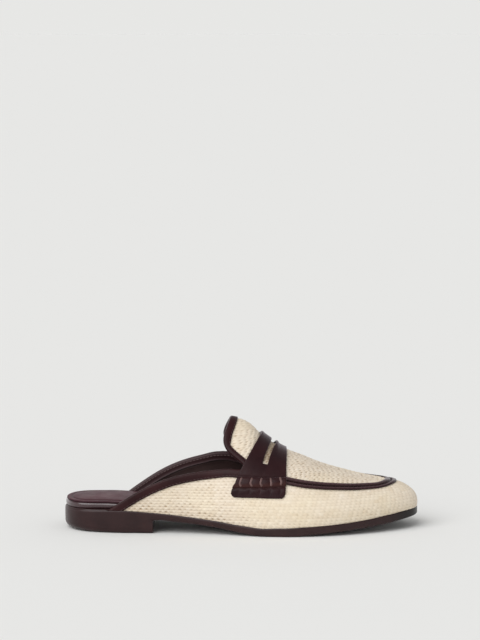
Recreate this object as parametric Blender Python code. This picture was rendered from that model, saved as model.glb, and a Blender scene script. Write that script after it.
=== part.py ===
"""Backless loafer mule, right foot: woven upper with leather edging, saddle and low block heel.

All tables are in millimetres. X runs from the back of the heel to the toe, Y from the outer
(lateral, negative) to the inner (medial) side, Z up from the floor. The finished meshes are in
metres with the origin under the middle of the shoe.
"""
import bpy
import numpy as np

MM = 0.001
LENGTH = 256.0            # heel back to toe tip
GAP = 0.3                 # clearance between neighbouring pieces
SOLE_THICK = 5.0
BREAST_X = 64.5           # front face of the heel block
RAND_THICK = 3.4          # wrapped insole board
SOCK_THICK = 1.3          # padded sock on the board
SOCK_CROWN = 0.5          # rise of the sock's middle over its edge
WALL = 1.6                # woven upper with its lining
FEATHER = 1.2             # upper set in from the sole's edge
FAN_X = 185.0             # ribs of the last fan out around the toe from here
FAN_RIDGE_X = 221.0       # top end of the rib at the toe tip
NOTCH_X = 122.5           # rib at the bottom of the throat
TONGUE_X = 91.2           # rib under the free end of the tongue
BIND_THICK = 0.7
BIND_OUTER = 5.2          # depth of the binding on the outside
BIND_INNER = 3.6          # and on the inside
TOPLINE_END_X = 114.4     # bindings stop just short of the saddle
TONGUE_END_X = 116.4
TRIM_X = 160.4            # ends of the apron trim at the saddle
SADDLE_LIFT = 0.45
SADDLE_TOP = 2.0
ROLL_RISE = 1.3           # puckered roll over the seam

# Sole seen from above: station, reach to the outer side, reach to the inner side.
OUTLINE = (
    (0.0, 0.0, 0.0),
    (2.6, 12.5, 12.5),
    (11.0, 22.8, 22.4),
    (30.0, 29.0, 28.0),
    (60.0, 31.0, 28.6),
    (90.0, 33.4, 27.8),
    (120.0, 39.2, 29.6),
    (150.0, 43.8, 35.2),
    (174.0, 44.0, 40.0),
    (197.0, 40.0, 41.0),
    (218.0, 32.4, 36.6),
    (236.0, 22.6, 28.4),
    (247.5, 13.6, 20.0),
    (253.8, 6.0, 12.4),
    (256.0, -3.2, 3.2),
)

# Underside of the sole: station, height. The equal rows are the flat tread.
SOLE_BOTTOM = (
    (0.0, 11.8),
    (30.0, 11.8),
    (61.0, 9.3),
    (87.0, 6.7),
    (110.0, 3.9),
    (126.0, 1.4),
    (140.0, 0.0),
    (155.0, 0.0),
    (174.0, 1.0),
    (196.0, 2.7),
    (219.0, 5.0),
    (238.0, 7.3),
    (256.0, 9.7),
)

# Top line of the last: station, sideways place, height.
RIDGE = (
    (84.0, 0.0, 104.0),
    (104.0, 0.3, 92.6),
    (121.5, 0.8, 79.9),
    (131.0, 1.0, 74.6),
    (141.0, 1.3, 67.6),
    (150.0, 1.6, 61.5),
    (160.5, 2.0, 56.2),
    (171.0, 2.4, 52.4),
    (185.0, 3.0, 47.0),
    (200.0, 3.4, 42.6),
    (214.0, 3.6, 39.0),
    (228.0, 3.6, 36.4),
)

# Ribs of the last: station of the foot, station on the ridge, steepness of the side,
# breadth of the crown, swell outward above the foot.
RIBS = (
    (34.0, 82.0, 0.42, 0.58, 1.0),
    (65.0, 101.0, 0.42, 0.58, 1.0),
    (92.0, 121.5, 0.42, 0.60, 2.0),
    (120.0, 136.0, 0.42, 0.58, 4.0),
    (140.0, 147.5, 0.43, 0.58, 4.5),
    (160.0, 160.5, 0.46, 0.58, 4.5),
    (185.0, 183.0, 0.51, 0.58, 4.5),
    (215.0, 205.0, 0.56, 0.60, 3.6),
    (256.0, 222.0, 0.62, 0.60, 1.8),
)

# Free edges of the upper: rib, share of the way from the sole to the ridge.
TOPLINE_LATERAL = (
    (36.5, 0.022),
    (41.0, 0.071),
    (54.0, 0.156),
    (66.0, 0.224),
    (79.0, 0.300),
    (93.0, 0.366),
    (106.0, 0.410),
    (117.0, 0.436),
    (122.5, 0.472),
)
TOPLINE_MEDIAL = (
    (42.5, 0.022),
    (48.0, 0.078),
    (58.0, 0.178),
    (70.0, 0.272),
    (82.0, 0.351),
    (93.0, 0.416),
    (104.0, 0.446),
    (117.0, 0.456),
    (122.5, 0.472),
)
TONGUE_EDGE = (
    (91.2, 0.720),
    (91.5, 0.676),
    (92.6, 0.630),
    (94.8, 0.592),
    (98.5, 0.562),
    (105.0, 0.537),
    (112.5, 0.517),
    (118.0, 0.503),
    (122.5, 0.472),
)

# Middle of the apron seam: rib, share of the way up.
APRON = (
    (122.5, 0.472),
    (159.0, 0.484),
    (173.0, 0.477),
    (185.0, 0.491),
    (195.0, 0.505),
    (207.0, 0.521),
    (224.0, 0.557),
    (234.0, 0.578),
    (242.0, 0.624),
    (248.0, 0.667),
    (253.0, 0.697),
    (256.0, 0.706),
)

# Saddle: step from tab (0) over the seam (1) to the ridge (2), rib at its rear edge, rib at
# its front edge.
SADDLE_EDGES = (
    (0.0, 117.6, 156.4),
    (0.12, 115.6, 158.5),
    (0.3, 114.3, 159.4),
    (0.6, 114.2, 159.5),
    (1.0, 115.6, 159.5),
    (1.15, 117.1, 159.5),
    (1.32, 120.4, 159.5),
    (1.5, 124.2, 159.6),
    (1.75, 128.4, 159.6),
    (1.88, 129.7, 159.6),
    (2.0, 130.1, 159.6),
    (2.12, 129.7, 159.6),
)
# Slot in the saddle: step, rib at its rear edge, rib at its front edge.
SADDLE_SLOT = (
    (1.27, 134.9, 138.6),
    (1.45, 136.5, 140.5),
    (1.66, 139.1, 143.4),
    (1.86, 141.0, 146.0),
    (2.0, 141.5, 146.8),
    (2.14, 141.0, 146.0),
)
# Bottom of the tab and middle of the roll: rib, share of the way up.
TAB_BOTTOM = ((114.0, 0.222), (124.0, 0.246), (138.0, 0.281), (160.0, 0.312))
ROLL_LINE = ((114.0, 0.322), (160.0, 0.478))

# Edging sections: distance from the seam's middle, lift off the cloth.
TRIM_SECTION = (
    (-3.0, 0.35),
    (-3.0, 1.0),
    (-1.9, 1.7),
    (-0.3, 1.2),
    (1.3, 1.6),
    (3.0, 1.0),
    (3.0, 0.35),
)
TRIM_WIDER = 0.16         # the trim is this much wider at the toe

COLOURS = {
    "raffia": (0.74, 0.65, 0.53, 0.62),
    "trim": (0.041, 0.021, 0.023, 0.42),
    "insole": (0.146, 0.100, 0.108, 0.35),
    "sole": (0.050, 0.034, 0.034, 0.40),
}


def smooth(rows, column):
    """Natural cubic through one column of a table over its first column, straight beyond it."""
    xs = np.array([row[0] for row in rows], float)
    ys = np.array([row[column] for row in rows], float)
    n = len(xs)
    h = np.diff(xs)
    rise = np.diff(ys)
    matrix = np.zeros((n, n))
    right = np.zeros(n)
    matrix[0, :2] = (2.0, 1.0)
    right[0] = 3.0 * rise[0] / h[0]
    matrix[-1, -2:] = (1.0, 2.0)
    right[-1] = 3.0 * rise[-1] / h[-1]
    for i in range(1, n - 1):
        matrix[i, i - 1:i + 2] = (h[i], 2.0 * (h[i] + h[i - 1]), h[i - 1])
        right[i] = 3.0 * (h[i - 1] / h[i] * rise[i] + h[i] / h[i - 1] * rise[i - 1])
    return hermite(xs, ys, np.linalg.solve(matrix, right))


def steady(rows, column=1):
    """Monotone cubic through one column of a table: level between equal rows, no overshoot."""
    xs = np.array([row[0] for row in rows], float)
    ys = np.array([row[column] for row in rows], float)
    h = np.diff(xs)
    d = np.diff(ys) / h
    slope = np.concatenate(([d[0]], np.zeros(len(xs) - 2), [d[-1]]))
    for i in range(1, len(xs) - 1):
        if d[i - 1] * d[i] > 0:
            near = 2.0 * h[i] + h[i - 1]
            far = h[i] + 2.0 * h[i - 1]
            slope[i] = (near + far) / (near / d[i - 1] + far / d[i])
    return hermite(xs, ys, slope)


def hermite(xs, ys, slope):
    """Curve through points with given slopes, as a function of x."""
    h = np.diff(xs)

    def curve(x):
        x = np.asarray(x, float)
        i = np.clip(np.searchsorted(xs, x, side="right") - 1, 0, len(xs) - 2)
        u = (x - xs[i]) / h[i]
        y = (2 * u**3 - 3 * u**2 + 1) * ys[i] + (u**3 - 2 * u**2 + u) * h[i] * slope[i]
        y = y + (3 * u**2 - 2 * u**3) * ys[i + 1] + (u**3 - u**2) * h[i] * slope[i + 1]
        y = np.where(x < xs[0], ys[0] + slope[0] * (x - xs[0]), y)
        return np.where(x > xs[-1], ys[-1] + slope[-1] * (x - xs[-1]), y)

    return curve


def ease(x, low, high):
    """0 before low, 1 after high, smooth between."""
    u = np.clip((x - low) / (high - low), 0.0, 1.0)
    return u * u * (3.0 - 2.0 * u)


def closed_curve(points, count):
    """Closed cubic through points by chord length, sampled count times."""
    p = np.asarray(points, float)
    n = len(p)
    ahead = np.roll(p, -1, 0)
    h = np.linalg.norm(ahead - p, axis=1)
    back = np.roll(h, 1)
    matrix = np.zeros((n, n))
    right = np.zeros_like(p)
    for i in range(n):
        matrix[i, i - 1] += h[i]
        matrix[i, i] += 2.0 * (h[i] + back[i])
        matrix[i, (i + 1) % n] += back[i]
        right[i] = 3.0 * (back[i] / h[i] * (ahead[i] - p[i]) + h[i] / back[i] * (p[i] - p[i - 1]))
    slope = np.linalg.solve(matrix, right)
    knots = np.concatenate(([0.0], np.cumsum(h)))
    t = np.linspace(0.0, knots[-1], count)
    i = np.clip(np.searchsorted(knots, t, side="right") - 1, 0, n - 1)
    u = ((t - knots[i]) / h[i])[:, None]
    j = (i + 1) % n
    chord = h[i][:, None]
    curve = (2 * u**3 - 3 * u**2 + 1) * p[i] + (u**3 - 2 * u**2 + u) * chord * slope[i]
    return curve + (3 * u**2 - 2 * u**3) * p[j] + (u**3 - u**2) * chord * slope[j]


def outline_sides():
    """Outer and inner half of the sole's outline, heel to toe, each with outward normals."""
    lateral = [(x, -outer) for x, outer, inner in OUTLINE]
    medial = [(x, inner) for x, outer, inner in OUTLINE]
    loop = closed_curve(lateral[::-1] + medial[1:-1], 4001)[:-1]
    loop = np.roll(loop, -int(np.argmax(loop[:, 0])), axis=0)
    loop = np.concatenate([loop, loop[:1]])
    loop[:, 0] -= loop[:, 0].min()
    loop[:, 0] *= LENGTH / loop[0, 0]
    heel = int(np.argmin(loop[:, 0]))
    tangent = np.gradient(loop, axis=0)
    tangent[0] = loop[1] - loop[-2]
    tangent[-1] = tangent[0]
    outward = np.stack([-tangent[:, 1], tangent[:, 0]], 1)
    outward /= np.linalg.norm(outward, axis=1)[:, None]
    both = np.hstack([loop, outward])
    return both[heel::-1], both[heel:]


SIDES = outline_sides()
MID_Y = 0.5 * (SIDES[0][:, 1].min() + SIDES[1][:, 1].max())
sole_bottom = steady(SOLE_BOTTOM)


def sole_top(x):
    """Height of the sole's upper face at a station."""
    return sole_bottom(x) + SOLE_THICK


def edge_point(side, x, inset):
    """Point inset from the sole's edge at a station, on the outer (0) or inner (1) side."""
    table = SIDES[side]
    x = np.clip(x, 0.0, table[-1, 0])
    px, py, nx, ny = (np.interp(x, table[:, 0], table[:, k]) for k in range(4))
    return px - nx * inset, py - ny * inset


ridge_y = smooth(RIDGE, 1)
ridge_z = smooth(RIDGE, 2)
rib_ridge = smooth(RIBS[:7], 1)
rib_side = smooth(RIBS, 2)
rib_crown = smooth(RIBS, 3)
rib_swell = smooth(RIBS, 4)
FAN_SPAN = LENGTH - FAN_X
WALK_TIP = FAN_X + FAN_SPAN * np.pi / 2.0


def walk_of(x, medial=False):
    """Walk around the feather line: outer heel end, past the toe tip, back along the inner side."""
    x = np.asarray(x, float)
    turn = np.arcsin(np.clip((x - FAN_X) / FAN_SPAN, 0.0, 1.0))
    walk = np.where(x < FAN_X, x, FAN_X + FAN_SPAN * turn)
    return 2.0 * WALK_TIP - walk if medial else walk


def ridge_station(x):
    """Ridge station of a rib: its own row on the sides, drawn together towards the toe."""
    start = rib_ridge(FAN_X)
    pace = (start - rib_ridge(FAN_X - 0.5)) / 0.5
    span = FAN_RIDGE_X - start
    lead = pace * FAN_SPAN / span
    q = np.clip((x - FAN_X) / FAN_SPAN, 0.0, 1.0)
    return np.where(x < FAN_X, rib_ridge(x), start + span * (lead * q - (lead - 1.0) * q * q))


def last(walk, v):
    """Point of the last: each rib is a cubic from the feather line (v 0) to the ridge (v 1)."""
    walk, v = np.broadcast_arrays(np.asarray(walk, float), np.asarray(v, float))
    medial = walk > WALK_TIP
    near = np.where(medial, 2.0 * WALK_TIP - walk, walk)
    x = np.where(near < FAN_X, near, FAN_X + FAN_SPAN * np.sin((near - FAN_X) / FAN_SPAN))
    outer = edge_point(0, x, FEATHER)
    inner = edge_point(1, x, FEATHER)
    fx = np.where(medial, inner[0], outer[0])
    fy = np.where(medial, inner[1], outer[1])
    fz = sole_top(fx) + GAP
    rx = ridge_station(x)
    ry = ridge_y(rx)
    rz = ridge_z(rx)
    fall = (ridge_z(rx + 0.2) - ridge_z(rx - 0.2)) / 0.4
    qx = rx - fx
    qy = ry - fy
    fan = ease(x, 160.0, 215.0)
    reach = np.hypot(fan * qx, qy) + 1e-9
    side = rib_side(x)
    crown = rib_crown(x)
    swell = rib_swell(x) / reach
    c0, c1, c2, c3 = (1 - v)**3, 3 * v * (1 - v)**2, 3 * v * v * (1 - v), v**3
    px = c0 * fx + c1 * (fx + side * (1 - fan) * qx - swell * fan * qx)
    px = px + c2 * (rx - crown * fan * qx) + c3 * rx
    py = c0 * fy + c1 * (fy - swell * qy) + c2 * (ry - crown * qy) + c3 * ry
    pz = c0 * fz + c1 * (fz + side * (rz - fz)) + c2 * (rz - crown * fall * fan * qx) + c3 * rz
    return np.stack([px, py, pz], -1)


def partials(walk, v):
    """How the last moves per unit of walk and per unit of v."""
    low = np.maximum(v - 0.004, 0.0)
    high = np.minimum(v + 0.004, 1.0)
    below = np.minimum(v, 0.985)
    along = (last(walk + 0.15, below) - last(walk - 0.15, below)) / 0.3
    up = (last(walk, high) - last(walk, low)) / (high - low)[..., None]
    return along, up


def skin(walk, v, lift=0.0):
    """Point lifted off the last along its outward normal, never below the sole's top."""
    walk, v, lift = np.broadcast_arrays(walk, v, lift)
    normal = np.cross(*partials(walk, v))
    normal /= np.linalg.norm(normal, axis=-1)[..., None]
    point = last(walk, v) + lift[..., None] * normal
    floor = sole_top(point[..., 0]) + GAP
    point[..., 2] = np.maximum(point[..., 2], floor)
    return point


def across(x, t):
    """Walk and v of a coordinate that runs over the ridge: t 0 outer, 1 ridge, 2 inner feather."""
    x, t = np.broadcast_arrays(np.asarray(x, float), np.asarray(t, float))
    return np.where(t <= 1.0, walk_of(x), walk_of(x, True)), np.where(t <= 1.0, t, 2.0 - t)


def beside(x, t, reach):
    """Surface coordinates at a distance to the left of a curve that runs over the last."""
    walk, v = across(x, t)
    along, up = partials(walk, v)
    flip = np.where(t <= 1.0, 1.0, -1.0)[:, None]
    along, up = along * flip, up * flip
    run = np.gradient(last(walk, v), axis=0)
    left = np.cross(np.cross(along, up), run)
    left /= np.linalg.norm(left, axis=1)[:, None]
    aa, ab, bb = (along * along).sum(1), (along * up).sum(1), (up * up).sum(1)
    la, lb = (left * along).sum(1), (left * up).sum(1)
    det = aa * bb - ab * ab
    return x + reach * (la * bb - lb * ab) / det, t + reach * (lb * aa - la * ab) / det


def material(name):
    """Principled material of one family."""
    made = bpy.data.materials.get(name)
    if made is None:
        red, green, blue, rough = COLOURS[name]
        made = bpy.data.materials.new(name)
        made.use_nodes = True
        shader = made.node_tree.nodes["Principled BSDF"]
        shader.inputs["Base Color"].default_value = (red, green, blue, 1.0)
        shader.inputs["Roughness"].default_value = rough
        made.diffuse_color = (red, green, blue, 1.0)
    return made


def part(name, points, faces, family):
    """One named object from points in millimetres and faces."""
    p = np.asarray(points, float).reshape(-1, 3)
    p = (p - np.array([LENGTH / 2.0, MID_Y, 0.0])) * MM
    mesh = bpy.data.meshes.new(name)
    mesh.from_pydata(p.tolist(), [], [tuple(int(k) for k in f) for f in faces])
    mesh.validate()
    mesh.materials.append(material(family))
    thing = bpy.data.objects.new(name, mesh)
    bpy.context.collection.objects.link(thing)
    return thing


def slab(name, stations, rings, family, closed_front=True):
    """Flat body with the foot's outline: rings of (inset, height), each a function of station.

    Each ring goes around the outline; strips across the lowest and the highest ring close it.
    A body with an open front ends in a straight face at its last station.
    """
    x = np.asarray(stations, float)
    m = len(x)
    loops = []
    for inset, height in rings:
        outer = edge_point(0, x, inset(x))
        inner = edge_point(1, x, inset(x))
        inner_run = np.stack([inner[0], inner[1], height(inner[0])], 1)
        outer_run = np.stack([outer[0], outer[1], height(outer[0])], 1)
        back = inner_run[-2:0:-1] if closed_front else inner_run[:0:-1]
        loops.append(np.concatenate([outer_run, back]))
    n = len(loops[0])
    faces = []
    for k in range(len(rings) - 1):
        for i in range(n):
            j = (i + 1) % n
            faces.append((k * n + i, k * n + j, (k + 1) * n + j, (k + 1) * n + i))
    top = (len(rings) - 1) * n
    for i in range(m - 1):
        quad = [i, i + 1, (n - i - 1) % n, (n - i) % n]
        quad = list(dict.fromkeys(quad))
        faces.append(tuple(quad[::-1]))
        faces.append(tuple(top + k for k in quad))
    return part(name, np.concatenate(loops), faces, family)


def grid_solid(name, ids, outer, inner, family):
    """Closed shell from quads over numbered surface points: outer face, inner face and rim."""
    n = len(outer)
    faces = []
    edges = {}
    for quad in ids:
        quad = list(dict.fromkeys(quad))
        if len(quad) < 3:
            continue
        faces.append(tuple(quad))
        faces.append(tuple(n + k for k in quad[::-1]))
        for a, b in zip(quad, quad[1:] + quad[:1]):
            edges[(a, b)] = True
    for a, b in edges:
        if (b, a) not in edges:
            faces.append((b, a, n + a, n + b))
    return part(name, np.concatenate([outer, inner]), faces, family)


def tube(name, sections, family):
    """Closed body through equal sections, capped at both ends."""
    count, n = sections.shape[:2]
    faces = []
    for i in range(count - 1):
        for k in range(n):
            j = (k + 1) % n
            faces.append((i * n + k, i * n + j, (i + 1) * n + j, (i + 1) * n + k))
    faces.append(tuple(range(n - 1, -1, -1)))
    faces.append(tuple((count - 1) * n + k for k in range(n)))
    return part(name, sections.reshape(-1, 3), faces, family)


def level(value):
    """Constant inset."""
    return lambda x: np.full_like(x, value)


def build_sole():
    """Outsole with rounded edges, and the heel block under its back."""
    turn = np.linspace(0.0, np.pi, 45)
    spread = LENGTH * 0.5 * (1.0 - np.cos(turn))
    stations = np.unique(np.concatenate([spread, [140.0, 155.0]]))
    rings = (
        (level(1.0), sole_bottom),
        (level(0.1), lambda x: sole_bottom(x) + 0.8),
        (level(0.0), lambda x: sole_bottom(x) + 3.9),
        (level(0.6), sole_top),
    )
    slab("outsole", stations, rings, "sole")
    back = BREAST_X * (1.0 - np.cos(np.linspace(0.0, np.pi / 2.0, 16)))
    rings = (
        (level(2.6), lambda x: np.zeros_like(x)),
        (level(0.9), lambda x: np.full_like(x, 0.9)),
        (level(0.2), lambda x: np.full_like(x, 2.6)),
        (level(0.1), lambda x: sole_bottom(x) - 1.4),
        (level(0.9), lambda x: sole_bottom(x) - GAP),
    )
    slab("heel", back, rings, "sole", closed_front=False)


def build_insole():
    """Wrapped board whose edge is the rand at the heel, and the padded sock on top of it."""
    turn = np.linspace(0.0, np.pi, 37)
    stations = LENGTH * 0.5 * (1.0 - np.cos(turn))

    def draw_in(extra):
        return lambda x: 1.3 + 3.0 * ease(x, 6.0, 30.0) + extra

    def rise(height):
        return lambda x: sole_top(x) + height

    base = GAP
    top = GAP + RAND_THICK
    rings = (
        (draw_in(0.5), rise(base)),
        (draw_in(0.0), rise(base + 1.2)),
        (draw_in(0.1), rise(top - 1.1)),
        (draw_in(1.2), rise(top)),
    )
    slab("insole_rand", stations, rings, "insole")
    base = top + GAP
    rings = (
        (draw_in(1.0), rise(base)),
        (draw_in(0.7), rise(base + 0.6)),
        (draw_in(1.8), rise(base + SOCK_THICK)),
        (draw_in(9.0), rise(base + SOCK_THICK + SOCK_CROWN)),
    )
    slab("insole", stations, rings, "insole")


QUARTER_ROWS = 6
PLUG_ROWS = 7
TONGUE_RIBS = np.array([TONGUE_X, 91.35, 91.7, 92.4, 93.6, 95.4, 98.0, 101.5, 106.0, 111.0, 116.0,
                        119.5, NOTCH_X])


def quarter_ribs(topline):
    """Ribs along one quarter, closer together at its low rear end."""
    start = topline[0][0]
    return start + (NOTCH_X - start) * np.linspace(0.0, 1.0, 16) ** 1.15


def build_upper():
    """One woven wall: two quarters, tongue and the closed fore part, with a throat between."""
    numbers = {}
    spots = []

    def number(walk, v):
        """Number of a surface point, shared along the ridge and the toe's middle rib."""
        far = 2.0 * WALK_TIP - walk
        key = (round(min(walk, far) if v > 0.9999 else walk, 3), round(v, 5))
        if key not in numbers:
            numbers[key] = len(spots)
            spots.append((walk, v))
        return numbers[key]

    quads = []

    def patch(walk, v):
        """Quads over a block of surface points, given as two equal tables."""
        ids = [[number(float(a), float(b)) for a, b in zip(*rows)] for rows in zip(walk, v)]
        for first, second in zip(ids, ids[1:]):
            for k in range(len(first) - 1):
                quads.append((first[k], second[k], second[k + 1], first[k + 1]))

    low = np.linspace(0.0, 1.0, QUARTER_ROWS + 1)
    high = np.linspace(0.0, 1.0, PLUG_ROWS + 1)
    tongue = TONGUE_RIBS
    fore = np.linspace(NOTCH_X, WALK_TIP, 26)
    fore_x = np.where(fore < FAN_X, fore, FAN_X + FAN_SPAN * np.sin((fore - FAN_X) / FAN_SPAN))
    seam = steady(APRON)(fore_x)[:, None]
    tongue_low = steady(TONGUE_EDGE)(tongue)[:, None]
    for medial, topline in ((False, TOPLINE_LATERAL), (True, TOPLINE_MEDIAL)):
        quarter = quarter_ribs(topline)
        blocks = (
            (quarter, low * steady(topline)(quarter)[:, None]),
            (tongue, tongue_low + high * (1.0 - tongue_low)),
            (fore_x, low * seam),
            (fore_x, seam + high * (1.0 - seam)),
        )
        for x, v in blocks:
            walk = np.broadcast_to(walk_of(x, medial)[:, None], v.shape)
            order = slice(None, None, -1) if medial else slice(None)
            patch(walk[order], v[order])
    spots = np.array(spots)
    outer = skin(spots[:, 0], spots[:, 1], 0.0)
    inner = skin(spots[:, 0], spots[:, 1], -WALL)
    grid_solid("upper", quads, outer, inner, "raffia")


def binding(name, x, t, turn_in):
    """Folded leather edging: a channel around the free edge, the cloth on its left.

    turn_in is how deep the fold goes down the outside and the inside at each point.
    """
    near, far = GAP, GAP + BIND_THICK
    inside = -WALL - GAP
    rows = []
    for share, lift, deep in (
        (1.0, near, 0), (1.0, far, 0), (0.5, far, 0), (0.0, far, 0),
        (None, 0.5 * far, 0), (None, inside + 0.5 * far, 0),
        (0.0, inside - BIND_THICK, 1), (0.5, inside - BIND_THICK, 1), (1.0, inside - BIND_THICK, 1),
        (1.0, inside, 1), (0.5, inside, 1), (None, inside + 0.3, 2), (None, 0.0, 2), (0.5, near, 0),
    ):
        reach = {0: -far, 1: -far, 2: -near}[deep] if share is None else share * turn_in[min(deep, 1)]
        bx, bt = beside(x, t, reach)
        rows.append(skin(*across(bx, bt), lift))
    return tube(name, np.stack(rows, 1), "trim")


def build_bindings():
    """Edging of the two toplines and of the tongue."""
    for name, topline in (
        ("topline_binding_lateral", TOPLINE_LATERAL),
        ("topline_binding_medial", TOPLINE_MEDIAL),
    ):
        medial = name.endswith("medial")
        x = quarter_ribs(topline)
        x = np.append(x[x < TOPLINE_END_X - 1.0], TOPLINE_END_X)
        v = steady(topline)(x)
        room = np.maximum(v - 0.006, 0.004) * 70.0
        outer = np.minimum(BIND_OUTER, room)
        inner = np.minimum(BIND_INNER, room)
        if medial:
            x, t, outer, inner = x, 2.0 - v, outer, inner
        else:
            x, t, outer, inner = x[::-1], v[::-1], outer[::-1], inner[::-1]
        binding(name, x, t, (outer, inner))
    side_x = TONGUE_RIBS[TONGUE_RIBS < TONGUE_END_X][::-1]
    side_t = steady(TONGUE_EDGE)(side_x)
    low = side_t[-1]
    rear_t = np.linspace(low, 2.0 - low, 2 * PLUG_ROWS + 1)[1:-1]
    x = np.concatenate([side_x, np.full(len(rear_t), TONGUE_X), side_x[::-1]])
    t = np.concatenate([side_t, rear_t, 2.0 - side_t[::-1]])
    binding("tongue_binding", x[::-1], t[::-1], (np.full(len(x), BIND_OUTER), np.full(len(x), BIND_INNER)))


def build_apron_trim():
    """Double leather roll along the apron seam, from the saddle around the toe and back."""
    walk = np.linspace(walk_of(TRIM_X), walk_of(TRIM_X, True), 57)
    near = np.minimum(walk, 2.0 * WALK_TIP - walk)
    x = np.where(near < FAN_X, near, FAN_X + FAN_SPAN * np.sin((near - FAN_X) / FAN_SPAN))
    v = steady(APRON)(x)
    middle = last(walk, v)
    normal = np.cross(*partials(walk, v))
    normal /= np.linalg.norm(normal, axis=1)[:, None]
    run = np.gradient(middle, axis=0)
    up = np.cross(normal, run)
    up /= np.linalg.norm(up, axis=1)[:, None]
    wide = (1.0 + TRIM_WIDER * ease(x, 205.0, 250.0))[:, None]
    sections = [middle + b * wide * up + h * normal for b, h in TRIM_SECTION]
    tube("apron_trim", np.stack(sections, 1)[:, ::-1], "trim")


def build_saddle():
    """Leather saddle over the instep: a tab, the roll over the seam and two straps with a slot."""
    half = np.array([0.0, 0.12, 0.3, 0.55, 0.66, 0.7, 0.8, 0.92, 1.0, 1.03, 1.06, 1.075, 1.1, 1.18, 1.27,
                     1.36, 1.45, 1.55, 1.66, 1.78, 1.9, 2.0])
    rear = steady(SADDLE_EDGES, 1)(half)
    front = steady(SADDLE_EDGES, 2)(half)
    slot_rear = steady(SADDLE_SLOT, 1)(np.maximum(half, SADDLE_SLOT[0][0]))
    slot_front = steady(SADDLE_SLOT, 2)(np.maximum(half, SADDLE_SLOT[0][0]))
    below = half < SADDLE_SLOT[0][0]
    slot_rear = np.where(below, rear + 0.386 * (front - rear), slot_rear)
    slot_front = np.where(below, rear + 0.490 * (front - rear), slot_front)
    x = np.concatenate([
        np.linspace(rear, slot_rear, 4),
        np.linspace(slot_front, front, 5),
    ]).T
    bottom = steady(TAB_BOTTOM)(x)
    roll = steady(ROLL_LINE)(x)
    s = half[:, None]
    t = np.where(s <= 1.0, bottom + (roll - bottom) * s, roll + (1.0 - roll) * (s - 1.0))
    spread = np.where(s <= 1.0, 0.34, 0.075)
    hump = np.sqrt(np.maximum(1.0 - ((s - 1.0) / spread) ** 2, 0.0))
    crease = 0.35 * (np.abs(s - 1.0) / spread > 0.99) * (np.abs(s - 1.0) / spread < 1.01)
    top = SADDLE_TOP + ROLL_RISE * hump - crease + 0.3 * ease(s, 1.6, 2.0)
    top = np.broadcast_to(top, x.shape)
    x = np.concatenate([x, x[-2::-1]])
    t = np.concatenate([t, 2.0 - t[-2::-1]])
    top = np.concatenate([top, top[-2::-1]])
    count, width = x.shape
    walk, v = across(x.ravel(), t.ravel())
    ids = np.arange(count * width).reshape(count, width)
    quads = []
    first = int(np.argmax(~below))
    for i in range(count - 1):
        for k in range(width - 1):
            if k == 3 and first <= i < count - 1 - first:
                continue
            quads.append((ids[i, k], ids[i, k + 1], ids[i + 1, k + 1], ids[i + 1, k]))
    outer = skin(walk, v, top.ravel())
    inner = skin(walk, v, SADDLE_LIFT)
    grid_solid("saddle_strap", quads, outer, inner, "trim")


def clear_scene():
    """Start from an empty scene."""
    for thing in list(bpy.data.objects):
        bpy.data.objects.remove(thing, do_unlink=True)


clear_scene()
build_sole()
build_insole()
build_upper()
build_bindings()
build_apron_trim()
build_saddle()
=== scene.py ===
"""Backless loafer mule for the right foot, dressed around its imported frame.

Tables are in millimetres, as the maker measures the shoe: X from the back of the heel to the
toe, Y from the outer (negative) to the inner side, Z up from the floor.
"""
import math

import bpy
import numpy as np
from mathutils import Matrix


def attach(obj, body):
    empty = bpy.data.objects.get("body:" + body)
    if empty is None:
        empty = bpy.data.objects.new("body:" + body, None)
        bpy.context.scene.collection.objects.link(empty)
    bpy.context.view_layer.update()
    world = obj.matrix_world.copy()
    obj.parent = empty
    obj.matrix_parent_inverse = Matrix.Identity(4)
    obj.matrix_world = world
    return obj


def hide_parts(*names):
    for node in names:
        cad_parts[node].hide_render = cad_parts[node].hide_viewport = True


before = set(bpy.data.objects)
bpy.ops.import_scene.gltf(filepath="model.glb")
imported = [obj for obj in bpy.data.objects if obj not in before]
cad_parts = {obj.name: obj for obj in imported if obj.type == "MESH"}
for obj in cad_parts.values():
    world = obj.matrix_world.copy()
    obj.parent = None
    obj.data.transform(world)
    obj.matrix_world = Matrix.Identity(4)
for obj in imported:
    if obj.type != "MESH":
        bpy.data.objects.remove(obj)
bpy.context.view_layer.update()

# Studio: a plain pale floor that runs to the horizon, one broad soft light from above the
# camera, an even bright room, and the camera on the outer side, ten degrees over the shoe.
SHOE_MIDDLE = (0.0, 0.0016, 0.0365)
CAMERA_FAR = 1.9
CAMERA_RISE = math.radians(10.0)
LONG_LENS = 146.95
LOOK_DOWN = math.radians(6.585)
LOOK_LEFT = math.radians(0.031)
PAPER = (0.80, 0.80, 0.785, 1.0)
ZENITH_LIGHT = 0.385
HORIZON_LIGHT = 0.85
FRONT_SHARE = 0.95
BACK_SHARE = 1.8
HORIZON_BAND = (0.08, 0.6)
FRONT_TO_BACK = (-0.5, 0.5)
KEY_LIGHT = 2.25
KEY_SPREAD = math.radians(58.0)
KEY_TURN = (math.radians(46.0), 0.0, math.radians(-40.0))
FLOOR_HALF = 60.0
FLOOR_TONE = (0.828, 0.828, 0.813, 1.0)
SEEN_TO = 200.0


def put(tree, made, **inputs):
    """Inputs of a node: each takes a value, a socket, or the first output of another node."""
    for key, value in inputs.items():
        name = key.replace("_", " ").strip()
        socket = made.inputs[int(name) if name.isdigit() else name]
        if isinstance(value, bpy.types.Node):
            value = value.outputs[0]
        if isinstance(value, bpy.types.NodeSocket):
            tree.links.new(value, socket)
        else:
            socket.default_value = value


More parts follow.
